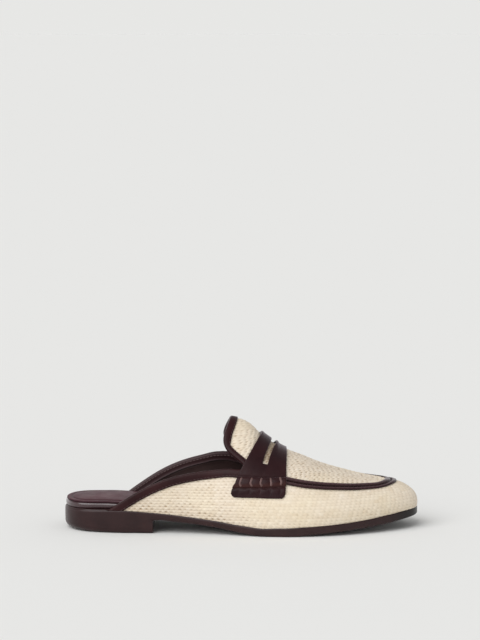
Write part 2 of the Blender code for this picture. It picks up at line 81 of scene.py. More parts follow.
def add(tree, kind, settings=None, **inputs):
    """Shader node of a kind with its settings and inputs."""
    made = tree.nodes.new("ShaderNode" + kind)
    for key, value in (settings or {}).items():
        setattr(made, key, value)
    put(tree, made, **inputs)
    return made


def ramp(tree, value, low, high, start=0.0, stop=1.0, kind="LINEAR"):
    """Node that maps what lies between low and high to between start and stop."""
    return add(tree, "MapRange", {"interpolation_type": kind}, Value=value, From_Min=low,
               From_Max=high, To_Min=start, To_Max=stop)


def start_material(name):
    """Empty node material: its tree and its Principled shader."""
    made = bpy.data.materials.new(name)
    made.use_nodes = True
    return made, made.node_tree, made.node_tree.nodes["Principled BSDF"]


scene = bpy.context.scene
scene.view_settings.view_transform = "Standard"
eye = bpy.data.cameras.new("camera")
eye.lens = LONG_LENS
eye.clip_end = SEEN_TO
camera = bpy.data.objects.new("camera", eye)
camera.location = (
    SHOE_MIDDLE[0],
    SHOE_MIDDLE[1] - CAMERA_FAR * math.cos(CAMERA_RISE),
    SHOE_MIDDLE[2] + CAMERA_FAR * math.sin(CAMERA_RISE),
)
camera.rotation_euler = (math.pi / 2.0 - LOOK_DOWN, 0.0, LOOK_LEFT)
scene.collection.objects.link(camera)
scene.camera = camera

room = bpy.data.worlds.new("room")
room.use_nodes = True
tree = room.node_tree
tree.nodes.clear()
seen = add(tree, "LightPath").outputs["Is Camera Ray"]
way = add(tree, "SeparateXYZ", Vector=add(tree, "TexCoord").outputs["Generated"])
low = ramp(tree, way.outputs["Z"], *HORIZON_BAND, HORIZON_LIGHT - ZENITH_LIGHT, 0.0, "SMOOTHSTEP")
behind = ramp(tree, way.outputs["Y"], *FRONT_TO_BACK, FRONT_SHARE, BACK_SHARE, "SMOOTHSTEP")
bright = add(tree, "Math", {"operation": "MULTIPLY_ADD"}, _0=low, _1=behind, _2=ZENITH_LIGHT)
glow = add(tree, "Background", Color=(1.0, 1.0, 1.0, 1.0), Strength=bright)
paper = add(tree, "Background", Color=PAPER, Strength=1.0)
add(tree, "OutputWorld", Surface=add(tree, "MixShader", _0=seen, _1=glow, _2=paper))
scene.world = room

key = bpy.data.lights.new("key_light", "SUN")
key.energy = KEY_LIGHT
key.angle = KEY_SPREAD
key_lamp = bpy.data.objects.new("key_light", key)
key_lamp.rotation_euler = KEY_TURN
scene.collection.objects.link(key_lamp)

floor_finish, tree, shader = start_material("floor_paper")
put(tree, shader, Base_Color=FLOOR_TONE, Roughness=0.9, Specular_IOR_Level=0.0)
floor_mesh = bpy.data.meshes.new("floor")
corners = [(a * FLOOR_HALF, b * FLOOR_HALF, 0.0) for a, b in ((-1, -1), (1, -1), (1, 1), (-1, 1))]
floor_mesh.from_pydata(corners, [], [(0, 1, 2, 3)])
floor_mesh.materials.append(floor_finish)
floor = bpy.data.objects.new("floor", floor_mesh)
scene.collection.objects.link(floor)

# Outsole and heel: a 5 mm leather sole cut to the foot's outline with arch and toe spring, and
# a low stacked heel glued under its back; both edges are inked dark and waxed together.
LENGTH = 256.0
SOLE_THICK = 5.0
BREAST_X = 64.5
WAIST_PARED = 0.8
WAIST_ENDS = (92.0, 134.0)
TREAD = (147.0, 159.0)
TOE_INKED = (228.0, 250.0)
HEEL_WORN = (4.0, 46.0)
# Ends of the middle line that the rings of a flat body are drawn to.
MIDDLE_LINE = (16.0, 238.0)
# Sole seen from above: station, reach to the outer side, reach to the inner side.
OUTLINE = (
    (0, 0, 0), (2.6, 12.5, 12.5), (11, 22.8, 22.4), (30, 29, 28), (60, 31, 28.6), (90, 33.4, 27.8),
    (120, 39.2, 29.6), (150, 43.8, 35.2), (174, 44, 40), (197, 40, 41), (218, 32.4, 36.6),
    (236, 22.6, 28.4), (247.5, 13.6, 20), (253.8, 6, 12.4), (256, -3.2, 3.2),
)
# Underside of the sole: station, height. The equal rows are the flat tread.
SOLE_BOTTOM = (
    (0, 11.8), (30, 11.8), (61, 9.9), (87, 7.3), (110, 5), (126, 2.4), (140, 0.4), (147, 0),
    (159, 0), (174, 0.9), (196, 2.7), (219, 4.8), (238, 6.8), (256, 9.1),
)
# Lip of the sole's edge that stands up around the upper: station, height.
SOLE_LIP = (
    (38, 0), (50, 0.35), (75, 0.6), (88, 0.65), (102, 0.35), (114, 0.3), (125, 0.45), (134, 0.75),
    (142, 0.8), (153, 1.3), (168, 1.4), (180, 1.05), (195, 0.75), (207, 0.6), (219, 0.7),
    (232, 1.05), (246, 1.05), (256, 0.9),
)


def hermite(xs, ys, slope):
    """Curve through points with given slopes, straight beyond its ends, as a function of x."""
    h = np.diff(xs)

    def curve(x):
        x = np.asarray(x, float)
        i = np.clip(np.searchsorted(xs, x, side="right") - 1, 0, len(xs) - 2)
        u = (x - xs[i]) / h[i]
        y = (2 * u**3 - 3 * u**2 + 1) * ys[i] + (u**3 - 2 * u**2 + u) * h[i] * slope[i]
        y = y + (3 * u**2 - 2 * u**3) * ys[i + 1] + (u**3 - u**2) * h[i] * slope[i + 1]
        y = np.where(x < xs[0], ys[0] + slope[0] * (x - xs[0]), y)
        return np.where(x > xs[-1], ys[-1] + slope[-1] * (x - xs[-1]), y)

    return curve


def steady(rows, column=1):
    """Monotone cubic through one column of a table: level between equal rows, no overshoot."""
    xs, ys = np.array(rows, float)[:, [0, column]].T
    h = np.diff(xs)
    d = np.diff(ys) / h
    slope = np.concatenate(([d[0]], np.zeros(len(xs) - 2), [d[-1]]))
    near = 2.0 * h[1:] + h[:-1]
    far = h[1:] + 2.0 * h[:-1]
    rising = d[:-1] * d[1:] > 0
    blend = near[rising] / d[:-1][rising] + far[rising] / d[1:][rising]
    slope[1:-1][rising] = (near + far)[rising] / blend
    return hermite(xs, ys, slope)


def ease(x, low, high):
    """0 before low, 1 after high, smooth between."""
    u = np.clip((x - low) / (high - low), 0.0, 1.0)
    return u * u * (3.0 - 2.0 * u)


def closed_curve(points, count):
    """Closed cubic through points by chord length, sampled count times."""
    p = np.asarray(points, float)
    n = len(p)
    ahead = np.roll(p, -1, 0)
    h = np.linalg.norm(ahead - p, axis=1)
    back = np.roll(h, 1)
    k = np.arange(n)
    matrix = np.zeros((n, n))
    matrix[k, k - 1] += h
    matrix[k, k] += 2.0 * (h + back)
    matrix[k, (k + 1) % n] += back
    rise = ahead - p
    right = 3.0 * ((back / h)[:, None] * rise + (h / back)[:, None] * np.roll(rise, 1, 0))
    slope = np.linalg.solve(matrix, right)
    knots = np.concatenate(([0.0], np.cumsum(h)))
    t = np.linspace(0.0, knots[-1], count)
    shut = np.append(k, 0)
    return np.stack([hermite(knots, p[shut, axis], slope[shut, axis])(t) for axis in (0, 1)], 1)


def unit(vectors):
    """Vectors brought to length one."""
    return vectors / np.linalg.norm(vectors, axis=-1)[..., None]


def outline_sides():
    """Outer and inner half of the sole's outline, heel to toe, each with outward normals."""
    lateral = [(x, -outer) for x, outer, inner in OUTLINE]
    medial = [(x, inner) for x, outer, inner in OUTLINE]
    loop = closed_curve(lateral[::-1] + medial[1:-1], 4001)[:-1]
    loop = np.roll(loop, -int(np.argmax(loop[:, 0])), axis=0)
    loop = np.concatenate([loop, loop[:1]])
    loop[:, 0] -= loop[:, 0].min()
    loop[:, 0] *= LENGTH / loop[0, 0]
    heel = int(np.argmin(loop[:, 0]))
    tangent = np.gradient(loop, axis=0)
    tangent[0] = loop[1] - loop[-2]
    tangent[-1] = tangent[0]
    both = np.hstack([loop, unit(np.stack([-tangent[:, 1], tangent[:, 0]], 1))])
    return both[heel::-1], both[heel:]


SIDES = outline_sides()
MID_Y = 0.5 * (SIDES[0][:, 1].min() + SIDES[1][:, 1].max())
ORIGIN = np.array([LENGTH / 2.0, MID_Y, 0.0])
sole_bottom = steady(SOLE_BOTTOM)
lip = steady(SOLE_LIP)


def sole_top(x):
    """Height of the sole's upper face at a station."""
    return sole_bottom(x) + SOLE_THICK


def waist_bottom(x):
    """Underside at the edge, pared thinner in front of the heel."""
    pared = ease(x, BREAST_X + 0.5, BREAST_X + 6.0) * (1.0 - ease(x, *WAIST_ENDS))
    return sole_bottom(x) + WAIST_PARED * pared


def lip_base(x):
    """Underside of the sole raised by the lip, from which the upper edge is measured."""
    return sole_bottom(x) + lip(x)


def edge_point(side, x, inset):
    """Point inset from the sole's edge at a station, on the outer (0) or inner (1) side."""
    table = SIDES[side]
    x = np.clip(x, 0.0, table[-1, 0])
    px, py, nx, ny = (np.interp(x, table[:, 0], table[:, k]) for k in range(4))
    return px - nx * inset, py - ny * inset


def grid(rows, columns, first=0, around=False):
    """Quads over a table of numbered points; around joins its last column to its first."""
    i, j = np.indices((rows - 1, columns if around else columns - 1))
    k = (j + 1) % columns
    corners = [i * columns + j, (i + 1) * columns + j, (i + 1) * columns + k, i * columns + k]
    return np.stack(corners, -1).reshape(-1, 4) + first


def facets(quads):
    """Quads with two equal corners turn into triangles, and flatter ones go."""
    same = quads == np.roll(quads, -1, axis=1)
    once = same.sum(1) == 1
    triangles = quads[once][~same[once]].reshape(-1, 3)
    return quads[~same.any(1)].tolist() + triangles.tolist()


def make_piece(name, points, faces, finish, crease=None, uv=None, **traits):
    """Mesh object at the origin: points in millimetres, faces, and traits kept per point."""
    mesh = bpy.data.meshes.new(name)
    place = (np.asarray(points, float).reshape(-1, 3) - ORIGIN) * 0.001
    mesh.from_pydata(place.tolist(), [], faces)
    mesh.polygons.foreach_set("use_smooth", np.ones(len(mesh.polygons), bool))
    if crease is not None:
        mesh.set_sharp_from_angle(angle=math.radians(crease))
    for trait, values in traits.items():
        layer = mesh.attributes.new(trait, "FLOAT", "POINT")
        layer.data.foreach_set("value", np.asarray(values, np.float32).ravel())
    if uv is not None:
        corner = np.empty(len(mesh.loops), np.int32)
        mesh.loops.foreach_get("vertex_index", corner)
        layer = mesh.uv_layers.new(name="weave")
        layer.data.foreach_set("uv", np.asarray(uv, np.float32)[corner].ravel())
    mesh.materials.append(finish)
    made = bpy.data.objects.new(name, mesh)
    scene.collection.objects.link(made)
    return made


def fit(piece, slot, *nodes):
    """The piece moves with the shoe and stands for these solids, if any; slot is not used."""
    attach(piece, "root")
    if nodes:
        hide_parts(*nodes)


def slab(name, stations, rings, finish, crease, open_front=False, pull=np.zeros_like):
    """Flat body with the foot's outline.

    Each ring is (inset, height, draw), functions of station: the outline moved in by inset along
    its normal, then drawn by a share towards the middle line. Strips close the two end rings.
    The last argument sets the per-point trait of its own name, for ink and painted light: a
    function of station, or a list with one value a ring.
    """
    x = np.asarray(stations, float)
    m = len(x)
    loops = []
    for inset, height, draw in rings:
        inset = inset(x) if callable(inset) else np.full(m, inset)
        outer = np.stack(edge_point(0, x, inset), 1)
        inner = np.stack(edge_point(1, x, inset), 1)
        middle = 0.5 * (outer + inner)
        middle[:, 0] = np.clip(middle[:, 0], *MIDDLE_LINE)
        outer += draw * (middle - outer)
        inner += draw * (middle - inner)
        back = inner[:0:-1] if open_front else inner[-2:0:-1]
        run = np.concatenate([outer, back])
        loops.append(np.column_stack([run, height(run[:, 0])]))
    n = len(loops[0])
    count = len(rings)
    sides = grid(count, n, around=True)[:, ::-1]
    i = np.arange(m - 1)
    strip = np.stack([i, i + 1, (n - i - 1) % n, (n - i) % n], 1)
    quads = np.concatenate([sides, strip[:, ::-1], strip + (count - 1) * n])
    points = np.concatenate(loops)
    trait = pull(points[:, 0]) if callable(pull) else np.repeat(pull, n)
    return make_piece(name, points, facets(quads), finish, crease, pull=trait)


def over(base, height):
    """Height above a surface of the sole, as a function of station."""
    return lambda x: base(x) + height


def leather_grain():
    """Shared effect: fine pores and creases of calf leather, slow mottling and polish worn by
    rubbing.
    """
    group = bpy.data.node_groups.new("leather_grain", "ShaderNodeTree")
    ways = {"INPUT": ("Pore Scale", "Mottle Scale"), "OUTPUT": ("Mottle", "Height", "Polish")}
    for way, names in ways.items():
        for name in names:
            group.interface.new_socket(name, in_out=way, socket_type="NodeSocketFloat")
    given = group.nodes.new("NodeGroupInput")
    where = add(group, "TexCoord").outputs["Object"]
    slow = add(group, "TexNoise", Vector=where, Scale=given.outputs["Mottle Scale"], Detail=4.0)
    warp = add(group, "TexNoise", Vector=where, Scale=420.0, Detail=2.0).outputs["Color"]
    bent = add(group, "MixRGB", {"blend_type": "ADD"}, Fac=0.0012, Color1=where, Color2=warp)
    pore = add(group, "TexVoronoi", {"feature": "SMOOTH_F1"}, Vector=bent,
               Scale=given.outputs["Pore Scale"], Smoothness=0.6).outputs["Distance"]
    fine = add(group, "TexNoise", Vector=where, Scale=2600.0, Detail=3.0)
    both = add(group, "Math", {"operation": "MULTIPLY_ADD"}, _0=fine, _1=0.35, _2=pore)
    polish_and_highlight = add(group, "TexNoise", Vector=where, Scale=140.0, Detail=5.0, Roughness=0.6)
    put(group, group.nodes.new("NodeGroupOutput"), Mottle=slow, Height=both, Polish=polish_and_highlight)
    return group


GRAIN = leather_grain()


def leather(name, dark, light, rough, pores=1000.0, mottles=70.0, bump=0.10, shine=0.4, coat=0.0,
            sheen=0.0, pulled=None):
    """Dyed leather: colour mottled between two tones, roughness between two values, pore bump.

    Where a per-point trait says so, a third tone shows: dark ink on the sole's edge at the toe,
    painted shade on the sock's side and pressed line, painted highlights on the edging and the
    apron roll, and painted light on the saddle's roll.
    """
    made, tree, shader = start_material(name)
    grain = add(tree, "Group", {"node_tree": GRAIN}, Pore_Scale=pores, Mottle_Scale=mottles).outputs
    spread = ramp(tree, grain["Mottle"], 0.3, 0.7)
    tone = add(tree, "MixRGB", Fac=spread, Color1=(*dark, 1.0), Color2=(*light, 1.0))
    if pulled:
        pull = add(tree, "Attribute", {"attribute_name": "pull"}).outputs["Fac"]
        tone = add(tree, "MixRGB", Fac=pull, Color1=tone, Color2=(*pulled, 1.0))
    relief = add(tree, "Bump", Strength=bump, Distance=0.0004, Height=grain["Height"])
    put(tree, shader, Base_Color=tone, Roughness=ramp(tree, grain["Polish"], 0.3, 0.7, *rough),
        Normal=relief, Specular_IOR_Level=shine, Coat_Weight=coat, Coat_Roughness=0.25,
        Sheen_Weight=sheen, Sheen_Roughness=0.3, Sheen_Tint=(1.0, 0.86, 0.97, 1.0))
    return made


inked_edge = leather("inked_edge", (0.021, 0.0076, 0.0080), (0.031, 0.0118, 0.0122), (0.34, 0.46),
                     pores=1500.0, mottles=90.0, bump=0.05, shine=0.12, coat=0.36,
                     pulled=(0.006, 0.0026, 0.0014))
spread = 0.5 * (1.0 - np.cos(np.linspace(0.0, np.pi, 161)))


def fore(inset):
    """Edge rounding that fades out over the heel, where sole and block run flush."""
    return lambda x: inset * ease(x, BREAST_X - 1.0, BREAST_X + 2.0)


# Rings of the sole from its tread up: inset, face it is measured from, height over that.
SOLE_RINGS = (
    (2.2, waist_bottom, 0.0), (0.95, waist_bottom, 0.0), (0.5, waist_bottom, 0.14),
    (0.2, waist_bottom, 0.42), (0.05, waist_bottom, 0.9), (0.0, waist_bottom, 1.6),
    (0.0, lip_base, 3.3), (0.1, lip_base, 4.05), (0.3, lip_base, 4.6), (0.58, lip_base, 4.88),
    (0.85, lip_base, 4.86), (1.05, sole_bottom, 4.9), (1.6, sole_bottom, SOLE_THICK),
)
outsole = slab(
    "outsole_edge",
    np.unique(np.concatenate([LENGTH * spread, [BREAST_X, *TREAD]])),
    [(fore(inset) if base is waist_bottom else inset, over(base, height), 0.0)
     for inset, base, height in SOLE_RINGS],
    inked_edge,
    38.0,
    pull=lambda x: ease(x, *TOE_INKED),
)
fit(outsole, "sole", "outsole")


def worn(value, more):
    """A value of the heel's lower edge that grows towards the back, where walking bevels it."""
    return lambda x: value + more * (1.0 - ease(x, *HEEL_WORN))


# Rings of the heel from the floor up: inset, how much more at the back, height, how much more.
HEEL_RINGS = (
    (3.2, 7.0, 0.0, 0.0), (2.4, 3.4, 0.03, 0.22), (1.6, 1.9, 0.28, 0.62), (0.95, 1.1, 0.8, 1.0),
    (0.5, 0.7, 1.55, 1.1), (0.22, 0.3, 2.6, 1.0), (0.06, 0.06, 4.4, 0.6),
)
heel_block = slab(
    "heel_block",
    BREAST_X * (1.0 - np.cos(np.linspace(0.0, np.pi / 2.0, 61))),
    [(worn(inset, more), worn(height, higher), 0.0) for inset, more, height, higher in HEEL_RINGS]
    + [(0.0, over(sole_bottom, -3.0), 0.0), (0.0, sole_bottom, 0.0)],
    inked_edge,
    38.0,
    open_front=True,
)
fit(heel_block, "sole", "heel")

# Rand: the insole board wrapped in dark calf; its rolled edge shows around the heel, and it is
# cemented on the sole inside the upper.
RAND_THICK = 4.3
RAND_EDGE = 0.75
RAND_INSIDE = 3.55
RAND_ENDS = (3.0, 30.0)
# Rings of the rand from the sole up: inset, height over the sole, draw to the middle.
RAND_RINGS = (
    (1.6, 0.0, 0.0), (0.75, 0.06, 0.0), (0.3, 0.4, 0.0), (0.06, 1.1, 0.0), (0.0, 2.1, 0.0),
    (0.06, 2.9, 0.0), (0.32, 3.55, 0.0), (0.8, 4.03, 0.0), (1.5, 4.26, 0.0),
    (2.4, RAND_THICK, 0.0), (4.0, RAND_THICK, 0.4),
)


def rand_inset(extra):
    """The rand stands near the sole's edge at the heel and inside the upper further forward."""
    return lambda x: RAND_EDGE + RAND_INSIDE * ease(x, *RAND_ENDS) + extra


rand_calf = leather("rand_calf", (0.028, 0.0100, 0.0125), (0.044, 0.0165, 0.0200), (0.15, 0.24),
                    pores=1100.0, mottles=45.0, bump=0.06, shine=0.6, coat=0.45)
foot_stations = LENGTH * spread
rand = slab(
    "rand_roll",
    foot_stations,
    [(rand_inset(inset), over(sole_top, height), draw) for inset, height, draw in RAND_RINGS],
    rand_calf,
    60.0,
)
fit(rand, "insole", "insole_rand")

# Sock: thin foam under smooth calf, cut to shape with a line pressed in along its rounded edge,
# and glued on the board over its whole length.
# Rings of the sock from the board up: inset, height over the sole, draw to the middle, how much
# it is darkened with painted shade, on its side and along the pressed line.
SOCK_RINGS = (
    (2.8, RAND_THICK - 0.05, 0.0, 1.0), (1.5, RAND_THICK, 0.0, 1.0), (1.15, 4.42, 0.0, 1.0),
    (1.0, 4.7, 0.0, 1.0), (1.05, 4.95, 0.0, 1.0), (1.2, 5.17, 0.0, 0.8), (1.5, 5.31, 0.0, 0.3),
    (2.0, 5.38, 0.0, 0.0), (2.8, 5.42, 0.0, 0.0), (4.3, 5.46, 0.0, 0.1), (4.7, 5.34, 0.0, 0.6),
    (4.95, 5.2, 0.0, 1.0), (5.2, 5.36, 0.0, 1.0), (5.6, 5.62, 0.0, 0.4), (6.4, 5.8, 0.0, 0.0),
    (8.0, 5.94, 0.0, 0.0), (8.0, 6.08, 0.3, 0.0), (8.0, 6.14, 0.65, 0.0),
)
SOCK_CLOSER = 0.35
SOCK_ENDS = (8.0, 40.0)
# The sock's third tone is painted shade: a dark brown on its side and along the pressed line.
sock_calf = leather("sock_calf", (0.058, 0.0160, 0.0228), (0.092, 0.0290, 0.0375), (0.42, 0.56),
                    pores=1100.0, mottles=55.0, shine=0.16, pulled=(0.036, 0.0120, 0.0170))


def sock_inset(extra):
    """The sock's edge stands just inside the rand, closer to it around the back of the heel."""
    return lambda x: rand_inset(extra)(x) - SOCK_CLOSER * (1.0 - ease(x, *SOCK_ENDS))


sock = slab(
    "sock_pad",
    foot_stations,
    [(sock_inset(inset), over(sole_top, height), draw) for inset, height, draw, _ in SOCK_RINGS],
    sock_calf,
    60.0,
    pull=[pressed for *_, pressed in SOCK_RINGS],
)
fit(sock, "insole", "insole")

# Lining: thin dark calf glued inside the woven upper, quarters and vamp in one strip and the
# tongue with the plug in another, both lasted over the same form.
WALL = 1.6
FEATHER = 1.2
FEATHER_LESS = 0.7
SINK = 0.2
FAN_X = 185.0
FAN_RIDGE_X = 221.0
NOTCH_X = 122.5
TONGUE_X = 91.2
FAN_SPAN = LENGTH - FAN_X
WALK_TIP = FAN_X + FAN_SPAN * np.pi / 2.0
FAN_ENDS = (160.0, 215.0)
TOE_ENDS = (236.0, 256.0)
CROWN_ENDS = (0.55, 1.0)
LINING_OUT = -1.0
LINING_GRID = (301, 33)
PLUG_GRID = (50, 90, 41)
FOLD_DEEP = 0.4
FOLD_BELOW = 8.0
FOLD_WIDE = 1.4
FOLD_ENDS = (112.0, 124.0)
RIB_LONG = 108.0
VAMP_START = 35.2
VAMP_END = 41.2
# Top line of the last: station, sideways place, height.
RIDGE = (
    (84, 0, 104), (104, 0.3, 92.6), (121.5, 0.8, 79.9), (131, 1, 74.6), (141, 1.3, 67.6),
    (150, 1.6, 61.5), (160.5, 2, 56.2), (171, 2.4, 52.4), (185, 3, 47), (200, 3.4, 42.6),
    (214, 3.6, 39), (228, 3.6, 36.4),
)
# How far wear has lifted or pressed the crown beside the ridge: ridge station, height.
CROWN = (
    (84, 0), (104, 0), (116, -0.6), (120.5, -0.7), (124, 0.5), (128.4, 2.1), (133, 2.7),
    (137, 2.4), (140.5, 1), (144, 0.2), (150, 0), (171, -0.4), (185, -1), (200, -1.45),
    (214, -1.85), (228, -2),
)
# Ribs of the last: station of the foot, station on the ridge, steepness of the side,
# breadth of the crown, swell outward above the foot.
RIBS = (
    (34, 82, 0.42, 0.58, 1), (65, 101, 0.42, 0.58, 1), (92, 121.5, 0.42, 0.60, 2),
    (120, 136, 0.42, 0.58, 4), (140, 147.5, 0.43, 0.58, 4.5), (160, 160.5, 0.46, 0.58, 4.5),
    (185, 183, 0.51, 0.58, 4.5), (215, 205, 0.56, 0.60, 3.6), (256, 222, 0.615, 0.60, 4.2),
)
# Free edges of the upper and the apron seam: rib, share of the way from the sole to the ridge.
TOPLINE_LATERAL = (
    (36.5, 0.022), (41, 0.066), (47, 0.116), (54, 0.165), (60, 0.201), (66, 0.234), (72, 0.264),
    (79, 0.301), (93, 0.366), (106, 0.410), (117, 0.436), (122.5, 0.472),
)
TOPLINE_MEDIAL = (
    (42.5, 0.022), (48, 0.083), (58, 0.180), (70, 0.272), (82, 0.355), (93, 0.425), (104, 0.454),
    (117, 0.463), (122.5, 0.472),
)
TONGUE_EDGE = (
    (91.2, 0.720), (91.5, 0.676), (92.6, 0.630), (94.8, 0.592), (98.5, 0.562), (105, 0.537),
    (112.5, 0.517), (118, 0.503), (122.5, 0.472),
)
APRON = (
    (122.5, 0.472), (159, 0.484), (173, 0.477), (185, 0.491), (195, 0.505), (207, 0.521),
    (224, 0.560), (231, 0.5755), (238, 0.6051), (243, 0.6393), (247, 0.6694), (250, 0.6920),
    (252.5, 0.7096), (254.5, 0.7219), (256, 0.7299),
)


def smooth(rows, column):
    """Natural cubic through one column of a table over its first column, straight beyond it."""
    xs, ys = np.array(rows, float)[:, [0, column]].T
    n = len(xs)
    h = np.diff(xs)
    rise = np.diff(ys)
    matrix = np.zeros((n, n))
    right = np.zeros(n)
    matrix[0, :2] = (2.0, 1.0)
    right[0] = 3.0 * rise[0] / h[0]
    matrix[-1, -2:] = (1.0, 2.0)
    right[-1] = 3.0 * rise[-1] / h[-1]
    i = np.arange(1, n - 1)
    matrix[i, i - 1] = h[1:]
    matrix[i, i] = 2.0 * (h[1:] + h[:-1])
    matrix[i, i + 1] = h[:-1]
    right[1:-1] = 3.0 * (h[:-1] / h[1:] * rise[1:] + h[1:] / h[:-1] * rise[:-1])
    return hermite(xs, ys, np.linalg.solve(matrix, right))


ridge_y = smooth(RIDGE, 1)
ridge_z = smooth(RIDGE, 2)
crown_lift = steady(CROWN)
rib_ridge = smooth(RIBS[:7], 1)
rib_side = smooth(RIBS, 2)
rib_crown = smooth(RIBS, 3)
rib_swell = smooth(RIBS, 4)
topline_lateral = steady(TOPLINE_LATERAL)
topline_medial = steady(TOPLINE_MEDIAL)
tongue_edge = steady(TONGUE_EDGE)
apron = steady(APRON)


def walk_of(x, medial=False):
    """Walk around the feather line: outer heel end, past the toe tip, back along the inner side."""
    x = np.asarray(x, float)
    turn = np.arcsin(np.clip((x - FAN_X) / FAN_SPAN, 0.0, 1.0))
    walk = np.where(x < FAN_X, x, FAN_X + FAN_SPAN * turn)
    return 2.0 * WALK_TIP - walk if medial else walk


def rib_of(walk):
    """Rib station of a walk, on either side."""
    near = np.minimum(walk, 2.0 * WALK_TIP - walk)
    return np.where(near < FAN_X, near, FAN_X + FAN_SPAN * np.sin((near - FAN_X) / FAN_SPAN))


def ridge_station(x):
    """Ridge station of a rib: its own row on the sides, drawn together towards the toe."""
    start = rib_ridge(FAN_X)
    pace = (start - rib_ridge(FAN_X - 0.5)) / 0.5
    span = FAN_RIDGE_X - start
    lead = pace * FAN_SPAN / span
    q = np.clip((x - FAN_X) / FAN_SPAN, 0.0, 1.0)
    return np.where(x < FAN_X, rib_ridge(x), start + span * (lead * q - (lead - 1.0) * q * q))


def last(walk, v):
    """Point of the last: each rib is a cubic from the feather line (v 0) to the ridge (v 1)."""
    walk, v = np.broadcast_arrays(np.asarray(walk, float), np.asarray(v, float))
    medial = walk > WALK_TIP
    x = rib_of(walk)
    inset = FEATHER - FEATHER_LESS * ease(x, *TOE_ENDS)
    fx, fy = np.where(medial, edge_point(1, x, inset), edge_point(0, x, inset))
    fz = sole_top(fx) - SINK
    rx = ridge_station(x)
    ry = ridge_y(rx)
    rz = ridge_z(rx)
    fall = (ridge_z(rx + 0.2) - ridge_z(rx - 0.2)) / 0.4
    qx = rx - fx
    qy = ry - fy
    fan = ease(x, *FAN_ENDS)
    reach = np.hypot(fan * qx, qy) + 1e-9
    side = rib_side(x)
    crown = rib_crown(x)
    swell = rib_swell(x) / reach
    c0, c1, c2, c3 = (1 - v)**3, 3 * v * (1 - v)**2, 3 * v * v * (1 - v), v**3
    px = c0 * fx + c1 * (fx + side * (1 - fan) * qx - swell * fan * qx)
    px = px + c2 * (rx - crown * fan * qx) + c3 * rx
    py = c0 * fy + c1 * (fy - swell * qy) + c2 * (ry - crown * qy) + c3 * ry
    pz = c0 * fz + c1 * (fz + side * (rz - fz)) + c2 * (rz - crown * fall * fan * qx) + c3 * rz
    pz = pz + crown_lift(rx) * ease(v, *CROWN_ENDS)
    return np.stack([px, py, pz], -1)


def partials(walk, v):
    """How the last moves per unit of walk and per unit of v."""
    low = v - 0.004
    high = np.minimum(v + 0.004, 1.0)
    below = np.minimum(v, 0.985)
    along = (last(walk + 0.15, below) - last(walk - 0.15, below)) / 0.3
    up = (last(walk, high) - last(walk, low)) / (high - low)[..., None]
    return along, up


def outward(walk, v):
    """Unit normal of the last, pointing out of the shoe."""
    return unit(np.cross(*partials(walk, v)))


def skin(walk, v, lift):
    """Point lifted off the last along its outward normal."""
    walk, v, lift = np.broadcast_arrays(np.asarray(walk, float), np.asarray(v, float), lift)
    return last(walk, v) + lift[..., None] * outward(walk, v)


def across(x, t):
    """Walk and v of a coordinate that runs over the ridge: t 0 outer, 1 ridge, 2 inner feather."""
    x, t = np.broadcast_arrays(np.asarray(x, float), np.asarray(t, float))
    return np.where(t <= 1.0, walk_of(x), walk_of(x, True)), np.where(t <= 1.0, t, 2.0 - t)


def shell(quads, count):
    """Faces of a wall: quads outside, the same turned over inside, and the rim between them."""
    edges = np.concatenate([quads[:, [k, (k + 1) % 4]] for k in range(4)])
    edges = edges[edges[:, 0] != edges[:, 1]]
    rim = edges[~np.isin(edges[:, 0] * count + edges[:, 1], edges[:, 1] * count + edges[:, 0])]
    wall = np.stack([rim[:, 1], rim[:, 0], rim[:, 0] + count, rim[:, 1] + count], 1)
    return np.concatenate([quads, quads[:, ::-1] + count, wall])


def vamp_top(walk):
    """Upper limit of quarters and vamp: topline behind the throat, apron seam in front of it."""
    x = rib_of(walk)
    behind = np.where(walk > WALK_TIP, topline_medial(x), topline_lateral(x))
    return np.where(x < NOTCH_X, behind, apron(x))


lining_calf = leather("lining_calf", (0.038, 0.0220, 0.0200), (0.061, 0.035, 0.032), (0.42, 0.55),
                      pores=1100.0, mottles=80.0, bump=0.12, shine=0.5)
steps, rows = LINING_GRID
walk = np.linspace(walk_of(VAMP_START), walk_of(VAMP_END, True), steps)[:, None]
v = vamp_top(walk) * np.linspace(0.0, 1.0, rows)[None, :]
below = RIB_LONG * (vamp_top(walk) - v)
fold = FOLD_DEEP * np.exp(-((below - FOLD_BELOW) / FOLD_WIDE) ** 2) * ease(vamp_top(walk), 0.1, 0.2)
fold = fold * (1.0 - ease(rib_of(walk), *FOLD_ENDS))
points = np.stack([skin(walk, v, LINING_OUT), skin(walk, v, -WALL - fold)])
quads = shell(grid(steps, rows), steps * rows)
vamp_lining = make_piece("vamp_lining", points, facets(quads), lining_calf, 50.0)
fit(vamp_lining, "raffia", "upper")

on_tongue, on_plug, rows = PLUG_GRID
rib = np.concatenate([TONGUE_X + (NOTCH_X - TONGUE_X) * np.linspace(0.0, 1.0, on_tongue) ** 1.7,
                      np.linspace(NOTCH_X, LENGTH, on_plug)[1:]])
low = np.where(rib < NOTCH_X, tongue_edge(rib), apron(rib))[:, None]
walk, v = across(rib[:, None], low + (2.0 - 2.0 * low) * np.linspace(0.0, 1.0, rows)[None, :])
points = np.stack([skin(walk, v, LINING_OUT), skin(walk, v, -WALL)])
number = np.arange(len(rib) * rows).reshape(-1, rows)
number[-1, rows // 2 + 1:] = number[-1, rows // 2 - 1::-1]
corners = number.ravel()
quads = shell(corners[grid(len(rib), rows)], len(corners))
tongue_lining = make_piece("tongue_lining", points, facets(quads), lining_calf, 50.0)
fit(tongue_lining, "raffia", "upper")

